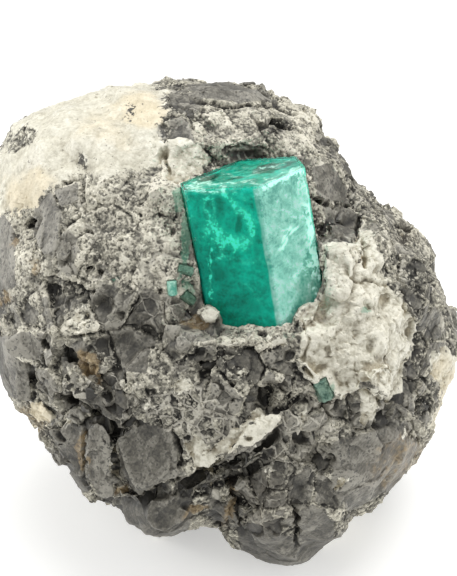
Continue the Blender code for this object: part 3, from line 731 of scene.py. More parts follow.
gap = np.full(len(points), MOVES_FROM)
for node in frame["nodes"]:
    if node != "matrix":
        gap = np.minimum(gap, distance_to(node, points, MOVES_FROM))
above_foot = smooth(*FOOT_EDGE, points[:, 2])
store(stone.data, "moves", smooth(STILL_NEAR, MOVES_FROM, gap) * above_foot)
store(stone.data, "placed", placed_relief(points))
store(stone.data, "filled", GAP_FILL * (1.0 - smooth(*FILL_EDGE, gap)))
print("points near a crystal:", int((gap < MOVES_FROM).sum()))

# %% [markdown]
# ## The broken surface
#
# Relief that follows a rule all over a surface is a job for Geometry Nodes. The tree reads the
# mineral map and moves each point along its normal. Dark ground is angular clasts with grooves
# between them, granular ground is fine tilted grit and is calmer where it is pale, shale is
# tilted plates combed with long ridges, and calcite is round lumps with small facets. Voronoi
# cells give most of them: a cell's random colour tilts a flat chip, the distance to its border
# cuts a groove, and the distance to its middle makes a lump. A cell that is looked up from a
# place pushed about by noise has a ragged border, as rock has.
#
# The tree also stores what the finish needs. One is each point's place before it moved, so that
# the material can find the same cells again and colour them with edges finer than the net. The
# other is how hollow the finished surface is at each point: the step from the point to the
# blurred mean of its neighbours, along the normal. The finish turns that into painted shade.

# %% Relief tree
RELIEF = {
    "Swell height": 1.0, "Clast size": 5.4, "Clast tilt": 0.5, "Clast step": 0.6,
    "Clast groove": 0.5, "Chip size": 2.2, "Chip tilt": 0.5, "Chip step": 0.22,
    "Chip groove": 0.15, "Grain tilt": 0.45, "Grain height": 0.20, "Plate tilt": 0.30,
    "Ridge height": 0.28, "Lump height": 1.9, "Calcite grain": 0.15, "Raggedness": 0.9,
}
RAGGED_SIZE = 2.5
KIND_SIZE = 7.0
RUBBLE_SIZE = 8.0
SWELL_SIZE = 6.0
GRIT_SIZE = 0.95
PLATE_SIZE = 5.5
LUMP_SIZE, SMALL_LUMP_SIZE = 5.6, 2.3
CALCITE_GRAIN, SMALL_CALCITE_GRAIN = 1.6, 0.8
SLAB_COMB = (0.57, 0.46, 0.68)
COMB_SQUEEZE = 0.75
HOLLOW_BLUR = 8
DIP_BLUR = 60


class Relief(Graph):
    """The parts of broken rock, as heights in millimetres."""

    def ragged(self, amount):
        """The place, pushed about by noise."""
        inputs = {"Vector": self.place, "Scale": 1.0 / RAGGED_SIZE, "Detail": 2.0}
        cloud = self.node("ShaderNodeTexNoise", inputs).outputs["Color"]
        away = self.vector("SUBTRACT", cloud, (0.5, 0.5, 0.5)).outputs[0]
        return self.vector("ADD", self.place, self.scaled(away, amount)).outputs[0]

    def chips(self, size, tilt, step, place):
        """Tilted flat chips, and each one's random tone and kind from -0.5 to 0.5."""
        inputs = {"Vector": place, "Scale": self.maths("DIVIDE", 1.0, size)}
        cells = self.node("ShaderNodeTexVoronoi", inputs)
        random = self.vector("SUBTRACT", cells.outputs["Color"], (0.5, 0.5, 0.5)).outputs[0]
        away = self.vector("SUBTRACT", place, cells.outputs["Position"]).outputs[0]
        slope = self.vector("DOT_PRODUCT", random, away).outputs["Value"]
        kind, _, tone = self.split(random)
        return self.total(self.times(slope, tilt), self.times(tone, step)), tone, kind

    def border(self, size, place):
        """The distance to the nearest cell border, in millimetres."""
        inputs = {"Vector": place, "Scale": self.maths("DIVIDE", 1.0, size)}
        cells = self.node("ShaderNodeTexVoronoi", inputs, feature="DISTANCE_TO_EDGE")
        return self.times(cells.outputs["Distance"], size)

    def lumps(self, size, place=None):
        """Round lumps about this wide, with creases between them, from -0.5 to 0.5."""
        return self.maths("SUBTRACT", 0.45, self.cells(size, place).outputs["Distance"])

    def combed(self, place):
        """The place, squeezed along one way, so that noise there turns into long ridges."""
        along = self.vector("DOT_PRODUCT", place, SLAB_COMB).outputs["Value"]
        squeeze = self.scaled(SLAB_COMB, self.times(along, COMB_SQUEEZE))
        return self.vector("SUBTRACT", place, squeeze).outputs[0]

    def kept(self, geometry, name, value, kind="FLOAT"):
        """The geometry with a value stored on its points."""
        inputs = {"Geometry": geometry, "Name": name, "Value": value}
        made = self.node("GeometryNodeStoreNamedAttribute", inputs, data_type=kind, domain="POINT")
        return made.outputs["Geometry"]

    def dark_clasts(self, clast_kind, chip_kind, clast_border):
        """1 where a clast is dark shale, and 0 in the pale ground between."""
        kind = self.sum_of(clast_kind, (chip_kind, 0.6), (self.noise(KIND_SIZE), 1.2),
                           (self.share("rubble"), 0.42), (self.share("pale"), -0.75))
        return self.times(self.step(kind, 0.0, 0.12), self.step(clast_border, 0.15, 0.4))

    def bulge(self, rounds):
        """How far each point lies below the mean of its neighbours, in millimetres."""
        here = self.node("GeometryNodeInputPosition", {}).outputs[0]
        inputs = {"Value": here, "Iterations": rounds}
        mean = self.node("GeometryNodeBlurAttribute", inputs, data_type="FLOAT_VECTOR").outputs[0]
        step = self.vector("SUBTRACT", mean, here).outputs[0]
        normal = self.node("GeometryNodeInputNormal", {}).outputs[0]
        return self.times(self.vector("DOT_PRODUCT", step, normal).outputs["Value"], 1.0 / MM)


def start_tree(name, values):
    """A Geometry Nodes tree with a geometry input and one number input for each value."""
    tree = bpy.data.node_groups.new(name, "GeometryNodeTree")
    tree.interface.new_socket("Geometry", in_out="INPUT", socket_type="NodeSocketGeometry")
    for key, value in values.items():
        kind = "NodeSocketInt" if isinstance(value, int) else "NodeSocketFloat"
        socket = tree.interface.new_socket(key, in_out="INPUT", socket_type=kind)
        socket.default_value = value
    tree.interface.new_socket("Geometry", in_out="OUTPUT", socket_type="NodeSocketGeometry")
    graph = Relief(tree)
    position = graph.node("GeometryNodeInputPosition", {}).outputs[0]
    graph.place = graph.scaled(position, 1.0 / MM)
    return tree, graph, tree.nodes.new("NodeGroupInput").outputs


def end_tree(graph, geometry, finish):
    """Realize Instances and Set Material, then the output."""
    real = graph.node("GeometryNodeRealizeInstances", {"Geometry": geometry}).outputs[0]
    done = graph.node("GeometryNodeSetMaterial", {"Geometry": real, "Material": finish}).outputs[0]
    graph.node("NodeGroupOutput", {0: done})


def apply_tree(obj, tree, values):
    """Runs a tree on an object with these values and keeps the result as a plain mesh."""
    step = obj.modifiers.new(tree.name, "NODES")
    step.node_group = tree
    for item in tree.interface.items_tree:
        if item.in_out == "INPUT" and item.name in values:
            step[item.identifier] = values[item.name]
    settle(obj)


def relief_tree(finish):
    """Breaks up the skin by mineral."""
    tree, graph, start = start_tree("broken_surface", RELIEF)
    share = graph.share
    calcite = graph.step(graph.sum_of(share("calcite"), (graph.noise(1.0), 0.7)), 0.35, 0.65)
    shale = graph.step(graph.sum_of(share("shale"), (graph.noise(1.2), 0.4)), 0.3, 0.6)
    rough = graph.times(graph.less(calcite, 0.8), graph.less(shale, 0.88))
    broken = graph.total(share("rubble"), graph.noise(RUBBLE_SIZE))
    broken = graph.step(broken, 0.1, 0.6, 0.3, 1.0)
    calm = graph.maths("MAXIMUM", graph.less(share("pale"), 0.45), 0.4)

    place = graph.ragged(start["Raggedness"])
    clasts, _, clast_kind = graph.chips(
        start["Clast size"], start["Clast tilt"], start["Clast step"], place)
    chips, _, chip_kind = graph.chips(
        start["Chip size"], start["Chip tilt"], start["Chip step"], place)
    clast_border = graph.border(start["Clast size"], place)
    chip_border = graph.border(start["Chip size"], place)
    groove = graph.times(graph.fall(clast_border, 0.0, 0.45), start["Clast groove"])
    small_groove = graph.times(graph.fall(chip_border, 0.0, 0.35), start["Chip groove"])
    clasts = graph.maths("SUBTRACT", clasts, groove)
    chips = graph.times(graph.maths("SUBTRACT", chips, small_groove), rough, calm)

    dark_clast = graph.dark_clasts(clast_kind, chip_kind, clast_border)
    gritty = graph.times(rough, graph.less(dark_clast, 0.7), graph.less(share("pale"), 0.35))
    grit, _, _ = graph.chips(GRIT_SIZE, start["Grain tilt"], 0.12, place)
    grit = graph.sum_of(grit, (graph.noise(1.6, 4.0, 0.65), start["Grain height"]))

    plates, _, _ = graph.chips(PLATE_SIZE, start["Plate tilt"], start["Plate tilt"], place)
    plates = graph.times(plates, graph.sum_of(0.25, (share("hidden"), 0.75), (share("dark"), 0.8)))
    ridges = graph.noise(1.5, 4.0, 0.6, graph.combed(place))
    plates = graph.sum_of(plates, (ridges, start["Ridge height"]))

    grains, _, _ = graph.chips(CALCITE_GRAIN, 0.25, start["Calcite grain"], place)
    small_grains, _, _ = graph.chips(SMALL_CALCITE_GRAIN, 0.4, 0.08, place)
    lumps = graph.sum_of(
        0.0, (graph.lumps(LUMP_SIZE, place), start["Lump height"]),
        (graph.lumps(SMALL_LUMP_SIZE), 0.35), (grains, 1.0), (small_grains, 1.0),
        (graph.noise(1.4, 3.0), 0.2))
    lumps = graph.times(lumps, graph.less(share("massive"), 0.8))

    swell = graph.times(graph.noise(SWELL_SIZE, 3.0), start["Swell height"])
    rise = graph.sum_of(
        0.0, (swell, graph.fall(shale, 0.0, 1.0, 0.15)), (clasts, graph.times(rough, broken, calm)),
        (chips, graph.step(broken, 0.0, 1.0, 0.5, 1.0)), (grit, gritty), (plates, shale),
        (lumps, calcite), (share("placed"), 1.0))
    rise = graph.times(graph.total(graph.times(rise, share("moves")), share("filled")), MM)
    normal = graph.node("GeometryNodeInputNormal", {}).outputs[0]
    kept = graph.kept(start["Geometry"], "rest", graph.place, "FLOAT_VECTOR")
    kept = graph.kept(kept, "dark_clast", dark_clast)
    inputs = {"Geometry": kept, "Offset": graph.scaled(normal, rise)}
    kept = graph.node("GeometryNodeSetPosition", inputs).outputs[0]
    kept = graph.kept(kept, "hollow", graph.bulge(HOLLOW_BLUR))
    kept = graph.kept(kept, "dip", graph.bulge(DIP_BLUR))
    end_tree(graph, kept, finish)
    return tree


rock = bpy.data.materials.new("shale_and_calcite_finish")
apply_tree(stone, relief_tree(rock), RELIEF)
print("relief done on", len(stone.data.vertices), "points")

# %% [markdown]
# ## Thinning the skin
#
# The even net spends as many faces on a flat chip as on a sharp crack. Decimate takes them away
# where the surface is flat and keeps them where it turns, so the same detail fits in fewer. A
# vertex group limits it to one part at a time, and so the display face, where the stone is looked
# at most, keeps three quarters of the faces. Faces then share one smooth normal except across
# edges that are truly sharp.

# %% Thin
SKIN_TRIANGLES = 192000
DISPLAY_SHARE = 0.75
SHARP_FROM = math.radians(38.0)


def triangle_count(mesh):
    return sum(len(face.vertices) - 2 for face in mesh.polygons)


def on_display(mesh):
    """Which points lie on the side that faces the eye."""
    return smooth(*SIDE_EDGE, frame_place(corners_of(mesh))[2]) > 0.5


def thin(obj, part, goal):
    """Takes faces away around these points only, until the whole mesh has this many triangles."""
    group = obj.vertex_groups.new(name="thinned")
    group.add(np.flatnonzero(part).tolist(), 1.0, "REPLACE")
    step = obj.modifiers.new("thin", "DECIMATE")
    step.vertex_group = group.name
    step.vertex_group_factor = 1000.0
    step.ratio = goal / triangle_count(obj.data)
    settle(obj)
    obj.vertex_groups.clear()


triangles = triangle_count(stone.data)
if triangles > SKIN_TRIANGLES:
    display = on_display(stone.data)
    thin(stone, ~display, triangles * display.mean() + SKIN_TRIANGLES * (1.0 - DISPLAY_SHARE))
    thin(stone, on_display(stone.data), SKIN_TRIANGLES)
stone.data.shade_smooth()
stone.data.set_sharp_from_angle(angle=SHARP_FROM)
print("skin:", triangles, "->", triangle_count(stone.data), "triangles,",
      round(100 * on_display(stone.data).mean()), "% of the points on the display face")

# %% [markdown]
# ## Loose-looking fragments
#
# A breccia is full of angular fragments that stand free of the surface, with edges sharper than
# the skin's net can hold. Eight fragment shapes, each a block with corners cut off, are laid
# on the skin by Geometry Nodes: points are scattered where the ground is rough, each gets a
# shape, a size and a turn of its own, and more than half of each shape sinks in. An instance
# keeps the attributes of its point, so a fragment in a rusty place is rusty.

# %% Fragment shapes
SHAPE_COUNT = 8
SHAPE_SINK = 0.14
SHAPE_LEAN = 0.5
# Each fragment counts as a little convex, so the finish paints it a touch lighter, as on worn edges,
# and without the painted shade of the hollow under it.
SHAPE_HOLLOW = -0.02


def fragment_shapes(name, cuts, flatness, seed):
    """Blocks one unit across with a few corners cut off flat, in a collection of their own."""
    draw = random.Random(seed)
    made = bpy.data.collections.new(name)
    for index in range(SHAPE_COUNT):
        shape = bmesh.new()
        bmesh.ops.create_cube(shape, size=1.0)
        bmesh.ops.scale(shape, vec=(1.0, draw.uniform(0.6, 0.9), flatness), verts=shape.verts[:])
        for _ in range(cuts):
            way = Vector((draw.gauss(0, 1), draw.gauss(0, 1), draw.gauss(0, 1))).normalized()
            whole = shape.verts[:] + shape.edges[:] + shape.faces[:]
            cut = bmesh.ops.bisect_plane(shape, geom=whole, plane_co=way * draw.uniform(0.26, 0.42),
                                         plane_no=way, clear_outer=True)
            rim = [item for item in cut["geom_cut"] if isinstance(item, bmesh.types.BMEdge)]
            bmesh.ops.contextual_create(shape, geom=rim)
        bmesh.ops.recalc_face_normals(shape, faces=shape.faces[:])
        bmesh.ops.translate(shape, vec=(0.0, 0.0, -SHAPE_SINK), verts=shape.verts[:])
        object_of(shape, f"{name}_{index}", made)
    return made


def scatter_tree(name, shapes, values, finish, room):
    """Lays shapes on a surface. The room function gives the share of the density at each point."""
    tree, graph, start = start_tree(name, values)

    def random_number(low, high, seed, kind="FLOAT"):
        made = graph.node("FunctionNodeRandomValue", {"Seed": seed}, data_type=kind)
        for socket in made.inputs:
            if socket.enabled and socket.name in ("Min", "Max"):
                socket.default_value = low if socket.name == "Min" else high
        return next(socket for socket in made.outputs if socket.enabled)

    density = graph.times(graph.maths("MAXIMUM", room(graph), 0.0), start["Density"])
    inputs = {"Mesh": start["Geometry"], "Density": density, "Seed": start["Seed"]}
    points = graph.node("GeometryNodeDistributePointsOnFaces", inputs)
    random_size = graph.maths("POWER", random_number(0.0, 1.0, 1), 2.0)
    span = graph.maths("SUBTRACT", start["Largest"], start["Smallest"])
    size = graph.times(graph.sum_of(start["Smallest"], (random_size, span)), MM)
    inputs = {"Collection": shapes, "Separate Children": True, "Reset Children": True}
    source = graph.node("GeometryNodeCollectionInfo", inputs)
    inputs = {"Points": points.outputs["Points"], "Instance": source.outputs[0],
              "Pick Instance": True, "Scale": size, "Rotation": points.outputs["Rotation"],
              "Instance Index": random_number(0, SHAPE_COUNT - 1, 2, "INT")}
    laid = graph.node("GeometryNodeInstanceOnPoints", inputs).outputs[0]
    turn = random_number((-SHAPE_LEAN, -SHAPE_LEAN, 0.0), (SHAPE_LEAN, SHAPE_LEAN, math.tau), 3,
                         "FLOAT_VECTOR")
    inputs = {"Instances": laid, "Rotation": turn}
    laid = graph.node("GeometryNodeRotateInstances", inputs).outputs[0]
    # This value replaces the hollow measure the finish turns into painted shade, so fragments come
    # out a touch lighter.
    inputs = {"Geometry": laid, "Name": "hollow", "Value": SHAPE_HOLLOW}
    laid = graph.node("GeometryNodeStoreNamedAttribute", inputs, data_type="FLOAT", domain="INSTANCE")
    end_tree(graph, laid.outputs["Geometry"], finish)
    return tree


def scatter(name, shapes, values, room):
    """A new object with the shapes that lie on the stone."""
    obj = bpy.data.objects.new(name, stone.data.copy())
    SCENE.objects.link(obj)
    apply_tree(obj, scatter_tree(name, shapes, values, rock, room), values)
    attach(obj, "root")
    print(name, len(obj.data.polygons), "faces")


def clast_room(graph):
    """Clasts lie in rubble, off the calcite and the shale, and away from the crystals."""
    rubble = graph.total(graph.share("rubble"), graph.noise(7.0))
    return graph.times(
        graph.fall(graph.share("calcite"), 0.1, 0.5), graph.fall(graph.share("shale"), 0.1, 0.4),
        graph.step(rubble, 0.2, 0.5, 0.12, 1.0), graph.step(graph.share("moves"), 0.9, 1.0))


def crumb_room(graph):
    """Crumbs are few on calcite, shale and dark clasts, and there are none in the pockets."""
    return graph.times(
        graph.fall(graph.share("calcite"), 0.1, 0.6, 0.10),
        graph.fall(graph.share("shale"), 0.1, 0.5, 0.06),
        graph.fall(graph.share("dark_clast"), 0.2, 0.6, 0.15),
        graph.fall(graph.share("filled"), 0.0, 0.2))


CLASTS = {"Density": 90000.0, "Smallest": 0.7, "Largest": 2.6, "Seed": 7}
CRUMBS = {"Density": 360000.0, "Smallest": 0.22, "Largest": 0.60, "Seed": 9}
blocks = fragment_shapes("block", 5, 0.6, 21)
grits = fragment_shapes("grit", 2, 0.7, 22)
scatter("stone_clasts", blocks, CLASTS, clast_room)
scatter("stone_crumbs", grits, CRUMBS, crumb_room)
for shapes in (blocks, grits):
    for shape in list(shapes.objects):
        bpy.data.objects.remove(shape)
    bpy.data.collections.remove(shapes)

# %% [markdown]
# ## The rock's finish
#
# One material covers the whole stone. It starts from a warm grey ground whose grains each take
# their own tone. The ground is darker in hollows, which is painted shade and partly dirt, and a
# little lighter on edges, as if worn. Shale, calcite, rust, and green stain with a painted green
# shade beside the large crystal, are laid over it by the map. Noise is added to each share
# before a narrow step, and so a soft patch gets a crisp and ragged mineral edge that is much
# finer than the skin's net.

# %% Rock material
# Each row of tones is a place on a colour ramp and its colour.
GROUND_TONES = [
    (0.02, (0.014, 0.013, 0.011)), (0.26, (0.070, 0.066, 0.055)), (0.46, (0.155, 0.147, 0.120)),
    (0.66, (0.290, 0.275, 0.222)), (0.86, (0.480, 0.455, 0.370)), (1.0, (0.650, 0.620, 0.520)),
]
SHALE_TONES = [
    (0.0, (0.028, 0.026, 0.021)), (0.5, (0.103, 0.096, 0.077)), (1.0, (0.270, 0.256, 0.216)),
]
WHITE_TONES = [
    (0.0, (0.170, 0.152, 0.112)), (0.35, (0.370, 0.342, 0.265)), (0.7, (0.550, 0.525, 0.430)),
    (1.0, (0.690, 0.665, 0.565)),
]
CREAM_TONES = [
    (0.0, (0.270, 0.220, 0.135)), (0.4, (0.520, 0.455, 0.318)), (1.0, (0.690, 0.620, 0.470)),
]
SALT, PEPPER = (0.560, 0.530, 0.440), (0.035, 0.033, 0.028)
RUST_HALO = (0.170, 0.134, 0.088)
RUST_DARK, RUST_LIGHT = (0.140, 0.092, 0.042), (0.420, 0.305, 0.150)
VEIN_WHITE = (0.540, 0.515, 0.440)
CALCITE_STAIN, CALCITE_DIRT = (0.420, 0.350, 0.220), (0.130, 0.115, 0.085)
GREEN_STAIN_AND_SHADE = (0.110, 0.310, 0.210)
BROAD_SIZE, MIDDLE_SIZE, FINE_SIZE = 2.6, 0.9, 0.35
GRAIN_SIZE, SMALL_GRAIN_SIZE, SPECK_SIZE = 0.50, 0.30, 0.32
DIP_WEIGHT = 0.35
SHADE_STRENGTH, SHADE_LEAST, SHADE_MOST = -1.8, -0.5, 0.25


def start_shader(made, kind=Graph):
    """A material's graph with its place in millimetres, and its shader."""
    made.use_nodes = True
    graph = kind(made.node_tree)
    coordinates = graph.node("ShaderNodeTexCoord", {}).outputs["Object"]
    graph.place = graph.scaled(coordinates, 1.0 / MM)
    return graph, made.node_tree.nodes["Principled BSDF"]


def finish_rock(made):
    """The shader of shale breccia and calcite."""
    graph, shader = start_shader(made, Relief)
    share, step, sum_of = graph.share, graph.step, graph.sum_of
    broad = graph.noise(BROAD_SIZE, 3.0)
    middle = graph.noise(MIDDLE_SIZE, 3.0)
    fine = graph.noise(FINE_SIZE, 3.0)
    grains, small_grains = graph.cells(GRAIN_SIZE), graph.cells(SMALL_GRAIN_SIZE)
    grain_tone = graph.maths("SUBTRACT", graph.split(grains.outputs["Color"])[0], 0.5)
    small_tone = graph.maths("SUBTRACT", graph.split(small_grains.outputs["Color"])[1], 0.5)
    # Painted shade and dirt: the hollower the skin, the darker it is painted; on edges it is a little
    # lighter, as if worn.
    hollow = sum_of(share("hollow"), (share("dip"), DIP_WEIGHT))
    painted_shade_dirt_and_wear = graph.maths("MINIMUM", graph.times(hollow, SHADE_STRENGTH), SHADE_MOST)
    painted_shade_dirt_and_wear = graph.maths("MAXIMUM", painted_shade_dirt_and_wear, SHADE_LEAST)

    # The clasts and chips of the relief, found again from the place before the skin moved
    here = graph.place
    graph.place = graph.node("ShaderNodeAttribute", {}, attribute_name="rest").outputs["Vector"]
    ragged = graph.ragged(RELIEF["Raggedness"])
    _, clast_tone, clast_kind = graph.chips(RELIEF["Clast size"], 0.0, 0.0, ragged)
    _, chip_tone, chip_kind = graph.chips(RELIEF["Chip size"], 0.0, 0.0, ragged)
    clast_border = graph.border(RELIEF["Clast size"], ragged)
    chip_border = graph.border(RELIEF["Chip size"], ragged)
    dark_clast = graph.dark_clasts(clast_kind, chip_kind, clast_border)
    graph.place = here
    rock_tone = sum_of(0.0, (clast_tone, 0.65), (chip_tone, 0.6))

    # The dark patches darken the ground and the shale, partly as dark rock and partly as painted
    # shade.
    tone = sum_of(
        0.48, (share("pale"), 0.24), (share("dark"), -0.18), (rock_tone, 0.34),
        (grain_tone, 0.26), (small_tone, 0.32), (broad, 0.55), (middle, 0.40), (fine, 0.40),
        (painted_shade_dirt_and_wear, 1.0))
    colour = graph.ramp(tone, GROUND_TONES)

    # Shale, as faces of its own and as dark clasts in the ground, with the same painted shade in its
    # hollows and in the dark patches
    slab = step(sum_of(share("shale"), (middle, 0.4), (fine, 0.3)), 0.42, 0.56)
    clast = step(sum_of(dark_clast, (fine, 0.7), (small_tone, 0.35)), 0.35, 0.65)
    clast = graph.times(clast, 0.9)
    shale = graph.maths("MAXIMUM", slab, clast)
    comb = graph.noise(0.45, 3.0, 0.6, graph.combed(here))
    shale_tone = sum_of(
        0.44, (broad, 0.30), (middle, 0.25), (comb, 0.95), (rock_tone, 0.5), (small_tone, 0.25),
        (painted_shade_dirt_and_wear, 1.1), (share("pale"), 0.35), (share("dark"), -0.2))
    colour = graph.blend(shale, colour, graph.ramp(shale_tone, SHALE_TONES))

    # Salt and pepper
    speck = graph.split(graph.cells(SPECK_SIZE).outputs["Color"])
    salt = sum_of(speck[0], (share("pale"), 0.08), (clast, -0.25), (slab, -0.5), (middle, 0.25))
    salt = step(salt, 0.87, 0.91)
    pepper = step(sum_of(speck[1], (middle, 0.25)), 0.85, 0.89)
    colour = graph.blend(graph.times(salt, 0.65), colour, SALT)
    colour = graph.blend(graph.times(pepper, 0.7), colour, PEPPER)

    # Rust, with a faint halo
    rust = step(sum_of(share("rust"), (middle, 0.9), (broad, 0.5)), 0.4, 0.8)
    rusty = graph.blend(graph.total(0.5, grain_tone), RUST_DARK, RUST_LIGHT)
    colour = graph.blend(graph.times(share("rust"), 0.3), colour, RUST_HALO)
    colour = graph.blend(graph.times(rust, 0.6), colour, rusty)

    # White veins along the borders of clasts and chips
    border = sum_of(clast_border, (fine, 0.5), (middle, 0.3))
    small_border = sum_of(chip_border, (fine, 0.35), (middle, 0.3))
    vein = graph.maths("MAXIMUM", graph.fall(border, 0.07, 0.25),
                       graph.times(graph.fall(small_border, 0.04, 0.18), 0.9))
    veined = step(sum_of(graph.noise(4.5), (share("veined"), 0.6), (slab, -0.3)), -0.02, 0.20)
    colour = graph.blend(graph.times(graph.times(vein, veined), 0.85), colour, VEIN_WHITE)

    # Calcite, from white to cream, with painted shade in its hollows, less where it is massive,
    # stained and a little dirty
    calm = graph.less(share("massive"), 0.6)
    white_tone = sum_of(
        0.68, (share("massive"), 0.02), (rock_tone, 0.12), (graph.total(middle, painted_shade_dirt_and_wear), calm),
        (broad, 0.6), (fine, 0.5), (grain_tone, 0.25))
    cream = step(sum_of(share("cream"), (broad, 0.9)), 0.1, 0.95)
    white = graph.blend(
        cream, graph.ramp(white_tone, WHITE_TONES), graph.ramp(white_tone, CREAM_TONES))
    stain = step(sum_of(graph.noise(3.2, 3.0), (middle, 0.4), (painted_shade_dirt_and_wear, -0.6)), 0.12, 0.42)
    white = graph.blend(graph.times(stain, calm, 0.35), white, CALCITE_STAIN)
    dirt = step(sum_of(small_tone, (middle, 0.7)), 0.50, 0.58)
    white = graph.blend(graph.times(dirt, 0.75), white, CALCITE_DIRT)
    calcite = sum_of(
        share("calcite"), (middle, 0.9), (broad, 0.5), (grain_tone, 0.35), (fine, 0.4))
    calcite = step(calcite, 0.42, 0.58)
    colour = graph.blend(calcite, colour, white)

    # Green stain, and a painted green shade on the pocket wall beside the large crystal.
    green = step(sum_of(share("green"), (fine, 0.9), (middle, 0.5)), 0.4, 0.8)
    colour = graph.blend(graph.times(green, 0.6), colour, GREEN_STAIN_AND_SHADE)

    height = sum_of(
        0.0, (grains.outputs["Distance"], -0.55), (small_grains.outputs["Distance"], -0.3),
        (fine, 1.2), (graph.times(comb, shale), 1.5))
    height = graph.times(
        height, graph.fall(shale, 0.0, 1.0, 0.4), graph.fall(calcite, 0.0, 1.0, 0.8))
    graph.fill(shader, {
        "Base Color": colour,
        "Roughness": sum_of(0.85, (shale, -0.33), (calcite, -0.25), (fine, 0.3)),
        "Normal": graph.bump(height, 0.9, 0.15 * MM),
    })


finish_rock(rock)
print("rock nodes:", len(rock.node_tree.nodes))

# %% [markdown]
# ## The emerald's body
#
# The solid's faces are perfect planes with one clean bevel. The real crystal's edges are worn
# and chipped here and there. So the solid is remeshed, each point near a face is put back exactly
# on its plane, which keeps the reflections calm, and the points near an edge are pushed in by
# random clouds. The end isn't a clean plane either, and its shallow dips throw the light about.

# %% Emerald body
CRYSTAL_NET = 0.28 * MM
SNAP_SHARE = 0.786
EDGE_SNAP_SHARE = 0.607
NICK_REACH = 0.45 * MM
NICK_DEPTH = 0.16 * MM
NICK_SIZE = 1.5 * MM
UNEVEN_SIZE = 2.6 * MM
UNEVEN_DEPTH = 0.16 * MM
CRYSTAL_SHARP_FROM = math.radians(20.0)
SIDE_AREA = 30.0 * MM * MM
SIDE_FROST = 0.15
TRUE_FACING = 0.97


def crystal_planes(node, least):
    """The outward normal and the offset of each face of a solid that is at least this large."""
    found = {}
    for face in frame["nodes"][node].data.polygons:
        key = tuple(round(value, 2) for value in face.normal)
        area, normal, offset = found.get(key, (0.0, np.array(face.normal), 0.0))
        found[key] = (area + face.area, normal, float(face.normal.dot(face.center)))
    kept = [(normal, offset) for area, normal, offset in found.values() if area > least]
    return np.array([normal for normal, _ in kept]), np.array([offset for _, offset in kept])


def nearest_planes(points, normals, offsets):
    """For each point, its two nearest planes and how far it is beyond them."""
    beyond = points @ normals.T - offsets
    order = np.argsort(beyond, axis=1)
    rows = np.arange(len(points))
    first, second = order[:, -1], order[:, -2]
    return first, second, beyond[rows, first], beyond[rows, second]


def worn_crystal(node, name, normals, offsets, net, nick, uneven=None):
    """The crystal's solid with true faces but for an uneven one, and a few nicks in its edges."""
    obj = merged_copy(node, name)
    even_net(obj, net)
    points = corners_of(obj.data)
    first, second, near, _ = nearest_planes(points, normals, offsets)
    points -= normals[first] * np.where(near > -SNAP_SHARE * net, near, 0.0)[:, None]
    level = np.sum(normals[first] * normals[second], axis=1)[:, None]
    across = normals[second] - normals[first] * level
    _, _, _, over = nearest_planes(points, normals, offsets)
    slant = np.sum(across * normals[second], axis=1)
    step_in = np.where(over > -EDGE_SNAP_SHARE * net, over / slant, 0.0)
    points -= across * step_in[:, None]
    first, second, _, over = nearest_planes(points, normals, offsets)
    wear = smooth(0.35, 1.0, cloud(points, NICK_SIZE) + 0.5 * cloud(points, NICK_SIZE / 3))
    wear *= smooth(-NICK_REACH, 0.0, over) * nick
    points -= (normals[first] + normals[second]) * (NICK_DEPTH * wear)[:, None]
    if uneven is not None:
        inner = (first == uneven) * smooth(0.0, 2.0 * NICK_REACH, -over)
        dip = 0.7 * cloud(points, UNEVEN_SIZE) + 0.3 * cloud(points, UNEVEN_SIZE / 3) - 1.0
        points += normals[uneven] * (UNEVEN_DEPTH * inner * dip)[:, None]
    obj.data.vertices.foreach_set("co", points.astype(np.float32).ravel())
    obj.data.update()
    without_stray_faces(obj)
    obj.data.shade_smooth()
    obj.data.set_sharp_from_angle(angle=CRYSTAL_SHARP_FROM)
    return obj


def store_frost(mesh, normals, frosted):
    """Marks frosted faces: one whole side a little, and the nicks, which face no plane, fully."""
    facing = np.array([face.normal[:] for face in mesh.polygons]) @ normals.T
    side = np.argmax(facing, axis=1)
    frost = np.where(side == frosted, SIDE_FROST, 0.0)
    frost = np.where(np.max(facing, axis=1) < TRUE_FACING, 1.0, frost)
    layer = mesh.attributes.new("frost", "FLOAT", "FACE")
    layer.data.foreach_set("value", frost.astype(np.float32))


NORMALS, OFFSETS = crystal_planes("emerald", SIDE_AREA)
RIGHT_SIDE = int(np.argmax(NORMALS @ (ACROSS + OUT)))
TOP_SIDE = int(np.argmax(NORMALS[:, 2]))
crystal = worn_crystal("emerald", "emerald_crystal", NORMALS, OFFSETS, CRYSTAL_NET, 1.0, TOP_SIDE)
store_frost(crystal.data, NORMALS, RIGHT_SIDE)
crystal_corners = corners_of(crystal.data)
CRYSTAL_MIDDLE = (crystal_corners.min(axis=0) + crystal_corners.max(axis=0)) / 2
print("emerald:", len(NORMALS), "faces,", len(crystal.data.polygons), "polygons")
print("right side:", np.round(NORMALS[RIGHT_SIDE], 2))

# %% [markdown]
# ## Clear crystal
#
# Emerald is see-through and takes its green from inside: light loses its red on the way. So the
# surface is plain clear glass with beryl's refractive index, and the colour comes from volume
# absorption, which deepens with thickness by itself.

# %% Crystal material
BERYL_IOR = 1.577
EMERALD_THROUGH, EMERALD_DENSITY = (0.0, 0.93, 0.83), 390.0
CALM_TINT, FROSTED_TINT = (0.0, 0.85, 0.68), (0.40, 0.74, 0.66)


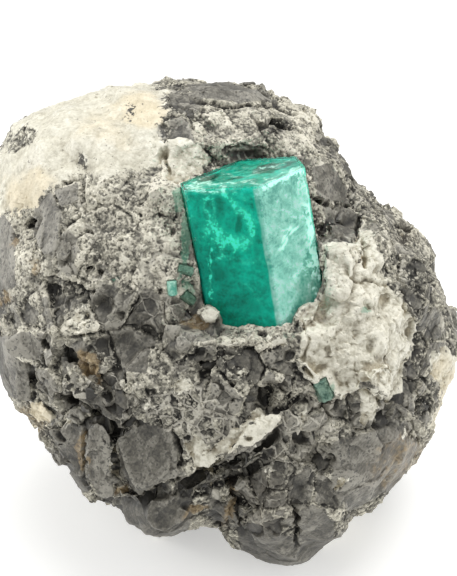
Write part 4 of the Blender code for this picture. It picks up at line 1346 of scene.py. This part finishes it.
def clear_material(name, colour, density):
    """Clear crystal whose colour is absorbed inside it, with its graph and its shader."""
    made = bpy.data.materials.new(name)
    graph, shader = start_shader(made)
    inputs = {"Color": opaque(colour), "Density": density}
    absorption = graph.node("ShaderNodeVolumeAbsorption", inputs).outputs[0]
    graph.fill(graph.tree.nodes["Material Output"], {"Volume": absorption})
    height = graph.sum_of(graph.noise(2.2), (graph.noise(0.5), 0.15))
    graph.fill(shader, {
        "Base Color": opaque((1.0, 1.0, 1.0)), "IOR": BERYL_IOR, "Transmission Weight": 1.0,
        "Normal": graph.bump(height, 0.5, 0.05 * MM),
    })
    return made, graph, shader


def emerald_material():
    """The large crystal's material. Frosted faces are rougher and their sheen is whiter."""
    made, graph, shader = clear_material("emerald_clear", EMERALD_THROUGH, EMERALD_DENSITY)
    frost = graph.share("frost")
    graph.fill(shader, {
        "Specular Tint": graph.blend(graph.step(frost, 0.0, SIDE_FROST), CALM_TINT, FROSTED_TINT),
        "Roughness": graph.sum_of(0.05, (frost, 0.4)),
    })
    return made


def dress(obj, material):
    """Gives the object one material in place of those it has."""
    obj.data.materials.clear()
    obj.data.materials.append(material)


dress(crystal, emerald_material())
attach(crystal, "root")
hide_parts("emerald")

# %% [markdown]
# ## The garden inside
#
# An emerald is never empty. Healed cracks and tiny bubbles fill it with milky clouds and bright
# wisps, which collectors call its garden. Here it is a body with a crumpled surface a little
# under the crystal's faces. The wisps, and painted shade in the dark places between them, are
# drawn on it where the real crystal has them, as lines and ovals in the picture frame. Under the
# right face the body is pale and milky, which is partly a milky haze and partly a painted sheen
# for the white light that face reflects. The crystal over it bends and colours the light, so
# that the garden seems to lie deep inside. The wisps are healed cracks that throw the lamp's
# light back like mirrors, for which they get a little light of their own, a painted glint.

# %% Garden places
# Each row of the wisps is a strength, a half width in pixels and a line in the picture frame.
# Each row of the painted shades is a strength and an oval, where the crystal gives back little light.
WISPS = [
    (0.9, 3.0, [(184, 192), (196, 190), (212, 192), (226, 197)]),
    (0.9, 2.2, [(204, 190), (207, 204), (208, 220), (206, 236)]),
    (0.8, 1.8, [(213, 190), (212, 206), (215, 222)]),
    (1.0, 3.2, [(224, 190), (231, 204), (243, 213), (252, 224), (254, 234)]),
    (1.0, 5.5, [(210, 226), (222, 238), (236, 244), (246, 240)]),
    (0.9, 4.0, [(214, 238), (224, 248), (222, 258)]),
    (1.0, 1.0, [(213, 250), (210, 268), (212, 284), (214, 299)]),
    (0.7, 0.8, [(207, 256), (210, 276), (209, 292)]),
    (0.6, 3.0, [(234, 192), (246, 200), (254, 196)]),
    (0.5, 2.5, [(230, 256), (246, 262), (258, 258), (268, 264)]),
    (0.4, 2.0, [(240, 284), (254, 290), (262, 302)]),
    (0.5, 2.0, [(192, 214), (196, 232), (197, 250)]),
    (1.0, 3.0, [(262, 188), (280, 181), (298, 171)]),
    (0.6, 8.0, [(306, 176), (312, 215), (320, 264)]),
    (0.9, 2.0, [(309, 176), (314, 205), (321, 240), (325, 272)]),
    (1.0, 1.3, [(297, 224), (290, 236), (281, 249)]),
    (0.9, 0.9, [(291, 226), (284, 238), (276, 251)]),
    (0.5, 1.0, [(284, 211), (296, 217), (308, 213)]),
    (0.7, 3.0, [(309, 248), (317, 262), (322, 278)]),
    (0.5, 2.0, [(290, 262), (297, 272), (291, 284)]),
    (0.4, 1.0, [(268, 222), (280, 232), (290, 228)]),
    (0.45, 8.0, [(306, 262), (314, 280), (319, 296)]),
    (0.9, 1.5, [(186, 187), (210, 184), (236, 185), (258, 184)]),
    (0.8, 1.5, [(262, 180), (284, 174), (304, 165)]),
    (0.7, 1.0, [(196, 181), (220, 176), (236, 177)]),
    (1.0, 1.2, [(222, 172), (238, 167), (254, 165)]),
    (0.7, 1.0, [(248, 176), (268, 170), (292, 161)]),
]
GARDEN_SHADES = [
    (0.7, 222, 276, 12, 7, 35), (0.6, 229, 284, 9, 5, -30), (1.0, 241, 221, 5, 14, 18),
    (0.8, 219, 206, 4, 13, 0), (0.6, 257, 246, 5, 20, 4), (0.7, 197, 246, 4, 30, -8),
    (0.4, 244, 304, 26, 10, 20), (0.7, 199, 206, 3, 12, 0), (0.8, 248, 206, 9, 4, 30),
    (0.5, 262, 222, 3, 22, 0), (1.5, 208, 180, 11, 3, -8), (1.6, 270, 170, 15, 3, -14),
    (1.2, 289, 166, 8, 3, -14), (1.2, 238, 178, 12, 2, -8), (0.5, 228, 226, 6, 8, 20),
]
GARDEN_SHIFTS = ((3.0, 1.8 * MM), (2.2, 0.7 * MM))
FRONT_EDGE = (-1.0 * MM, 2.0 * MM)


def garden_map(points):
    """The share of wisps and of painted shade at each point of the garden's front."""
    x, y, _ = frame_place(points)
    x, y = pushed(points, x, y, GARDEN_SHIFTS)
    wisps, hollows = np.zeros(len(points)), np.zeros(len(points))
    for strength, half_wide, line in WISPS:
        distance, _, _ = line_place(x, y, line)
        beside = smooth(0.3 * half_wide, 2.0 * half_wide, distance)
        wisps = np.maximum(wisps, strength * (1.0 - beside))
    for strength, *oval in GARDEN_SHADES:
        hollows = np.maximum(hollows, strength * smooth(-0.8, 0.8, oval_depth(x, y, *oval)))
    front = smooth(*FRONT_EDGE, (points - CRYSTAL_MIDDLE) @ OUT)
    return wisps * front, hollows * front


print("wisps:", len(WISPS), "hollows:", len(GARDEN_SHADES))

# %% Garden body
GARDEN_NET = 7
GARDEN_DEPTH = 0.22 * MM
GARDEN_RELIEF = 0.28 * MM
RIGHT_EDGE = (4.2 * GARDEN_DEPTH, 3.2 * GARDEN_DEPTH)
WISP_GLINT = 0.35
GARDEN_TONES = [
    (0.0, (0.0, 0.14, 0.085)), (0.3, (0.0, 0.34, 0.225)), (0.55, (0.0, 0.64, 0.455)),
    (0.8, (0.01, 0.90, 0.71)), (1.0, (0.06, 0.98, 0.82)),
]
MILK_AND_SHEEN_TONES = [(0.15, (0.10, 0.46, 0.37)), (0.45, (0.44, 0.80, 0.68)), (0.75, (0.92, 1.0, 0.94))]
WISP_GREEN, WISP_WHITE = (0.10, 1.0, 0.72), (0.72, 1.0, 0.89)


def garden_body():
    """A ball that fills the crystal up to a depth under each face, with a crumpled surface."""
    shape = bmesh.new()
    bmesh.ops.create_icosphere(shape, subdivisions=GARDEN_NET, radius=1.0)
    ways = np.array([vertex.co[:] for vertex in shape.verts])
    ways /= np.linalg.norm(ways, axis=1)[:, None]
    towards = ways @ NORMALS.T
    room = OFFSETS - GARDEN_DEPTH - NORMALS @ CRYSTAL_MIDDLE
    reach = np.min(np.where(towards > 1e-6, room / np.maximum(towards, 1e-6), 1.0), axis=1)
    points = CRYSTAL_MIDDLE + ways * reach[:, None]
    sunk = GARDEN_RELIEF * (0.5 + 0.5 * cloud(points, 2.4 * MM) + 0.3 * cloud(points, 0.8 * MM))
    points -= ways * np.maximum(sunk, 0.0)[:, None]
    for vertex, point in zip(shape.verts, points):
        vertex.co = point
    obj = object_of(shape, "emerald_garden")
    obj.data.shade_smooth()
    under_right = OFFSETS[RIGHT_SIDE] - points @ NORMALS[RIGHT_SIDE]
    store(obj.data, "right_side", smooth(*RIGHT_EDGE, under_right))
    store(obj.data, "below_top", (OFFSETS[TOP_SIDE] - points @ NORMALS[TOP_SIDE]) / MM)
    wisps, hollows = garden_map(points)
    store(obj.data, "wisps", wisps)
    store(obj.data, "hollows", hollows)
    return obj


def garden_material():
    """Milky green clouds with bright wisps and painted shade. Under the right face they are paler, as
    milky haze and painted sheen.
    """
    made = bpy.data.materials.new("emerald_garden")
    graph, shader = start_shader(made)
    share, step, sum_of = graph.share, graph.step, graph.sum_of
    right = share("right_side")
    # A little lighter in the upper part, and lighter low under the right face, as painted light where
    # that part lies in shade.
    upper = graph.fall(share("below_top"), 5.0, 9.9)
    painted_light_low_right = graph.times(step(share("below_top"), 6.0, 16.0), right)
    top = graph.fall(share("below_top"), 0.4, 1.0)
    broad = graph.noise(4.0, 4.0)
    middle = graph.noise(1.2, 4.0, 0.6)
    fine = graph.noise(0.4, 3.0)
    # Painted shade in the garden, from the shade ovals broken up by noise.
    hollow = sum_of(0.0, (share("hollows"), 0.8), (middle, 2.0), (fine, 1.2))
    hollow = step(hollow, 0.25, 1.1)
    tone = sum_of(
        0.46, (broad, 0.7), (middle, 0.90), (fine, 0.45), (upper, 0.08), (painted_light_low_right, 0.30),
        (hollow, -0.50))
    # Milky haze and painted sheen: under the right face the clouds turn pale mint to white.
    milk_and_sheen = graph.ramp(sum_of(-0.33, (tone, 1.5)), MILK_AND_SHEEN_TONES)
    colour = graph.blend(graph.times(right, 0.85), graph.ramp(tone, GARDEN_TONES), milk_and_sheen)

    # Wisps, broken up by noise, with thin threads and a haze around them
    ridge = sum_of(graph.noise(1.5, 4.0), (graph.noise(0.5, 3.0), 0.4))
    thread = graph.fall(graph.maths("ABSOLUTE", ridge), 0.0, 0.07)
    fleck = sum_of(0.0, (share("wisps"), 0.70), (thread, 0.20), (middle, 1.4), (fine, 1.0))
    fleck = graph.maths(
        "MAXIMUM", step(fleck, 0.34, 1.0), graph.times(step(fleck, 0.28, 0.60), right))
    haze = step(sum_of(share("wisps"), (broad, 1.0), (middle, 0.6)), 0.1, 1.2)
    bright = graph.blend(graph.maths("MAXIMUM", right, top), WISP_GREEN, WISP_WHITE)
    cover = graph.maths("MAXIMUM", graph.times(fleck, 0.95), graph.times(haze, 0.4))
    graph.fill(shader, {
        "Base Color": graph.blend(cover, colour, bright),
        "Roughness": 0.7,
        "Emission Color": bright,
        "Emission Strength": graph.times(step(fleck, 0.3, 1.0), WISP_GLINT),
    })
    return made


garden = garden_body()
garden.data.materials.append(garden_material())
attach(garden, "root")
print("garden:", len(garden.data.polygons), "faces")

# %% [markdown]
# ## The small crystals
#
# The four small crystals are cloudier than the large one, because they are full of fine cracks,
# so most of their light comes back from a milky body. They are worn in the same way, on a finer
# net. One is pale and stands clear, and the others are dull green and half hidden.

# %% Small crystals
SMALL_NET = 0.12 * MM
SMALL_SIDE_AREA = 0.7 * MM * MM
SMALL_THROUGH, SMALL_DENSITY = (0.10, 0.85, 0.70), 260.0
SMALL_TINT = (0.5, 1.0, 0.85)
# Each crystal has a share of wear, a dark colour and a light colour.
SMALL_CRYSTALS = {
    "small_emerald_1": (0.8, (0.12, 0.50, 0.37), (0.55, 0.90, 0.74)),
    "small_emerald_2": (2.0, (0.06, 0.13, 0.09), (0.26, 0.42, 0.31)),
    "small_emerald_3": (2.0, (0.05, 0.12, 0.08), (0.24, 0.38, 0.28)),
    "small_emerald_4": (2.4, (0.04, 0.08, 0.06), (0.28, 0.40, 0.31)),
}


def small_material(name, dark, light):
    """Cloudy emerald, darker or paler."""
    made, graph, shader = clear_material(name, SMALL_THROUGH, SMALL_DENSITY)
    tone = graph.sum_of(0.5, (graph.noise(1.1, 4.0), 1.6), (graph.noise(0.3), 1.0))
    graph.fill(shader, {
        "Base Color": graph.ramp(tone, [(0.25, dark), (0.75, light)]),
        "Roughness": 0.3, "Transmission Weight": 0.3, "Specular Tint": opaque(SMALL_TINT),
    })
    return made


for node, (wear, dark, light) in SMALL_CRYSTALS.items():
    planes = crystal_planes(node, SMALL_SIDE_AREA)
    small = worn_crystal(node, f"{node}_crystal", *planes, SMALL_NET, wear)
    dress(small, small_material(f"{node}_clear", dark, light))
    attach(small, "root")
    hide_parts(node)
    print(node, len(planes[0]), "faces,", len(small.data.polygons), "polygons")

# %% [markdown]
# ## Handing over the stone
#
# Thinning can cut a speck of a few faces off the skin. A speck doesn't show in a picture, but in
# a mesh that others will use it is a flaw, so the skin keeps only its largest connected part.

# %% Ride and replace
without_stray_faces(stone)
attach(stone, "root")
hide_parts("matrix")

# %% [markdown]
# ## Floor and light
#
# The stone stands on a white light table, which photographers use so that a dark stone has no
# heavy shadow. Its glow is strongest around the stone and fades outwards. A large soft light
# hangs above and the room is white. One small panel at the right, near the floor, gives the
# crystal's right side its pale sheen, and a larger one at the left lights the stone from there.

# %% Floor
FLOOR_SIZE = 3.0
FLOOR_COLOUR = (0.80, 0.80, 0.79)
GLOW_COLOUR = (1.0, 1.0, 0.99)
FLOOR_GLOW = 0.42
GLOW_MIDDLE = (44.0, 20.0, 0.0)
GLOW_RADIUS = (60.0 * MM, 140.0 * MM)


def floor_piece():
    """A plain pale floor that glows softly around the stone."""
    shape = bmesh.new()
    bmesh.ops.create_grid(shape, x_segments=1, y_segments=1, size=FLOOR_SIZE)
    obj = object_of(shape, "floor")
    finish = bpy.data.materials.new("floor_finish")
    graph, shader = start_shader(finish)
    away = graph.vector("SUBTRACT", graph.place, GLOW_MIDDLE).outputs[0]
    distance = graph.times(graph.vector("LENGTH", away).outputs["Value"], MM)
    graph.fill(shader, {
        "Base Color": opaque(FLOOR_COLOUR), "Roughness": 0.9, "Emission Color": opaque(GLOW_COLOUR),
        "Emission Strength": graph.step(distance, *GLOW_RADIUS, FLOOR_GLOW, 0.0),
    })
    obj.data.materials.append(finish)


floor_piece()
print("floor set")

# %% Lights
# Each light has a name, a place, a width and a height in metres, and a radiance.
LIGHTS = [
    ("top_light", (0.06, 0.08, 0.50), 0.42, 0.42, 4.0),
    ("right_light", (0.20, -0.064, 0.045), 0.085, 0.085, 3.2),
    ("left_light", (-0.30, 0.03, 0.13), 0.25, 0.20, 3.2),
]
ROOM_GLOW = 0.7


def soft_light(name, place, width, height, radiance):
    """A rectangle of light that looks at the stone."""
    data = bpy.data.lights.new(name, "AREA")
    data.shape = "RECTANGLE"
    data.size, data.size_y = width, height
    data.energy = radiance * width * height * math.pi
    obj = bpy.data.objects.new(name, data)
    obj.location = place
    aim = Vector(HEART) - Vector(place)
    obj.rotation_euler = aim.to_track_quat("-Z", "Y").to_euler()
    obj.visible_camera = False
    SCENE.objects.link(obj)


for light in LIGHTS:
    soft_light(*light)
world = bpy.data.worlds.new("studio")
world.use_nodes = True
background = world.node_tree.nodes["Background"]
background.inputs["Color"].default_value = (1.0, 1.0, 1.0, 1.0)
background.inputs["Strength"].default_value = ROOM_GLOW
bpy.context.scene.world = world
bpy.context.scene.view_settings.view_transform = "Standard"
print("lights set")
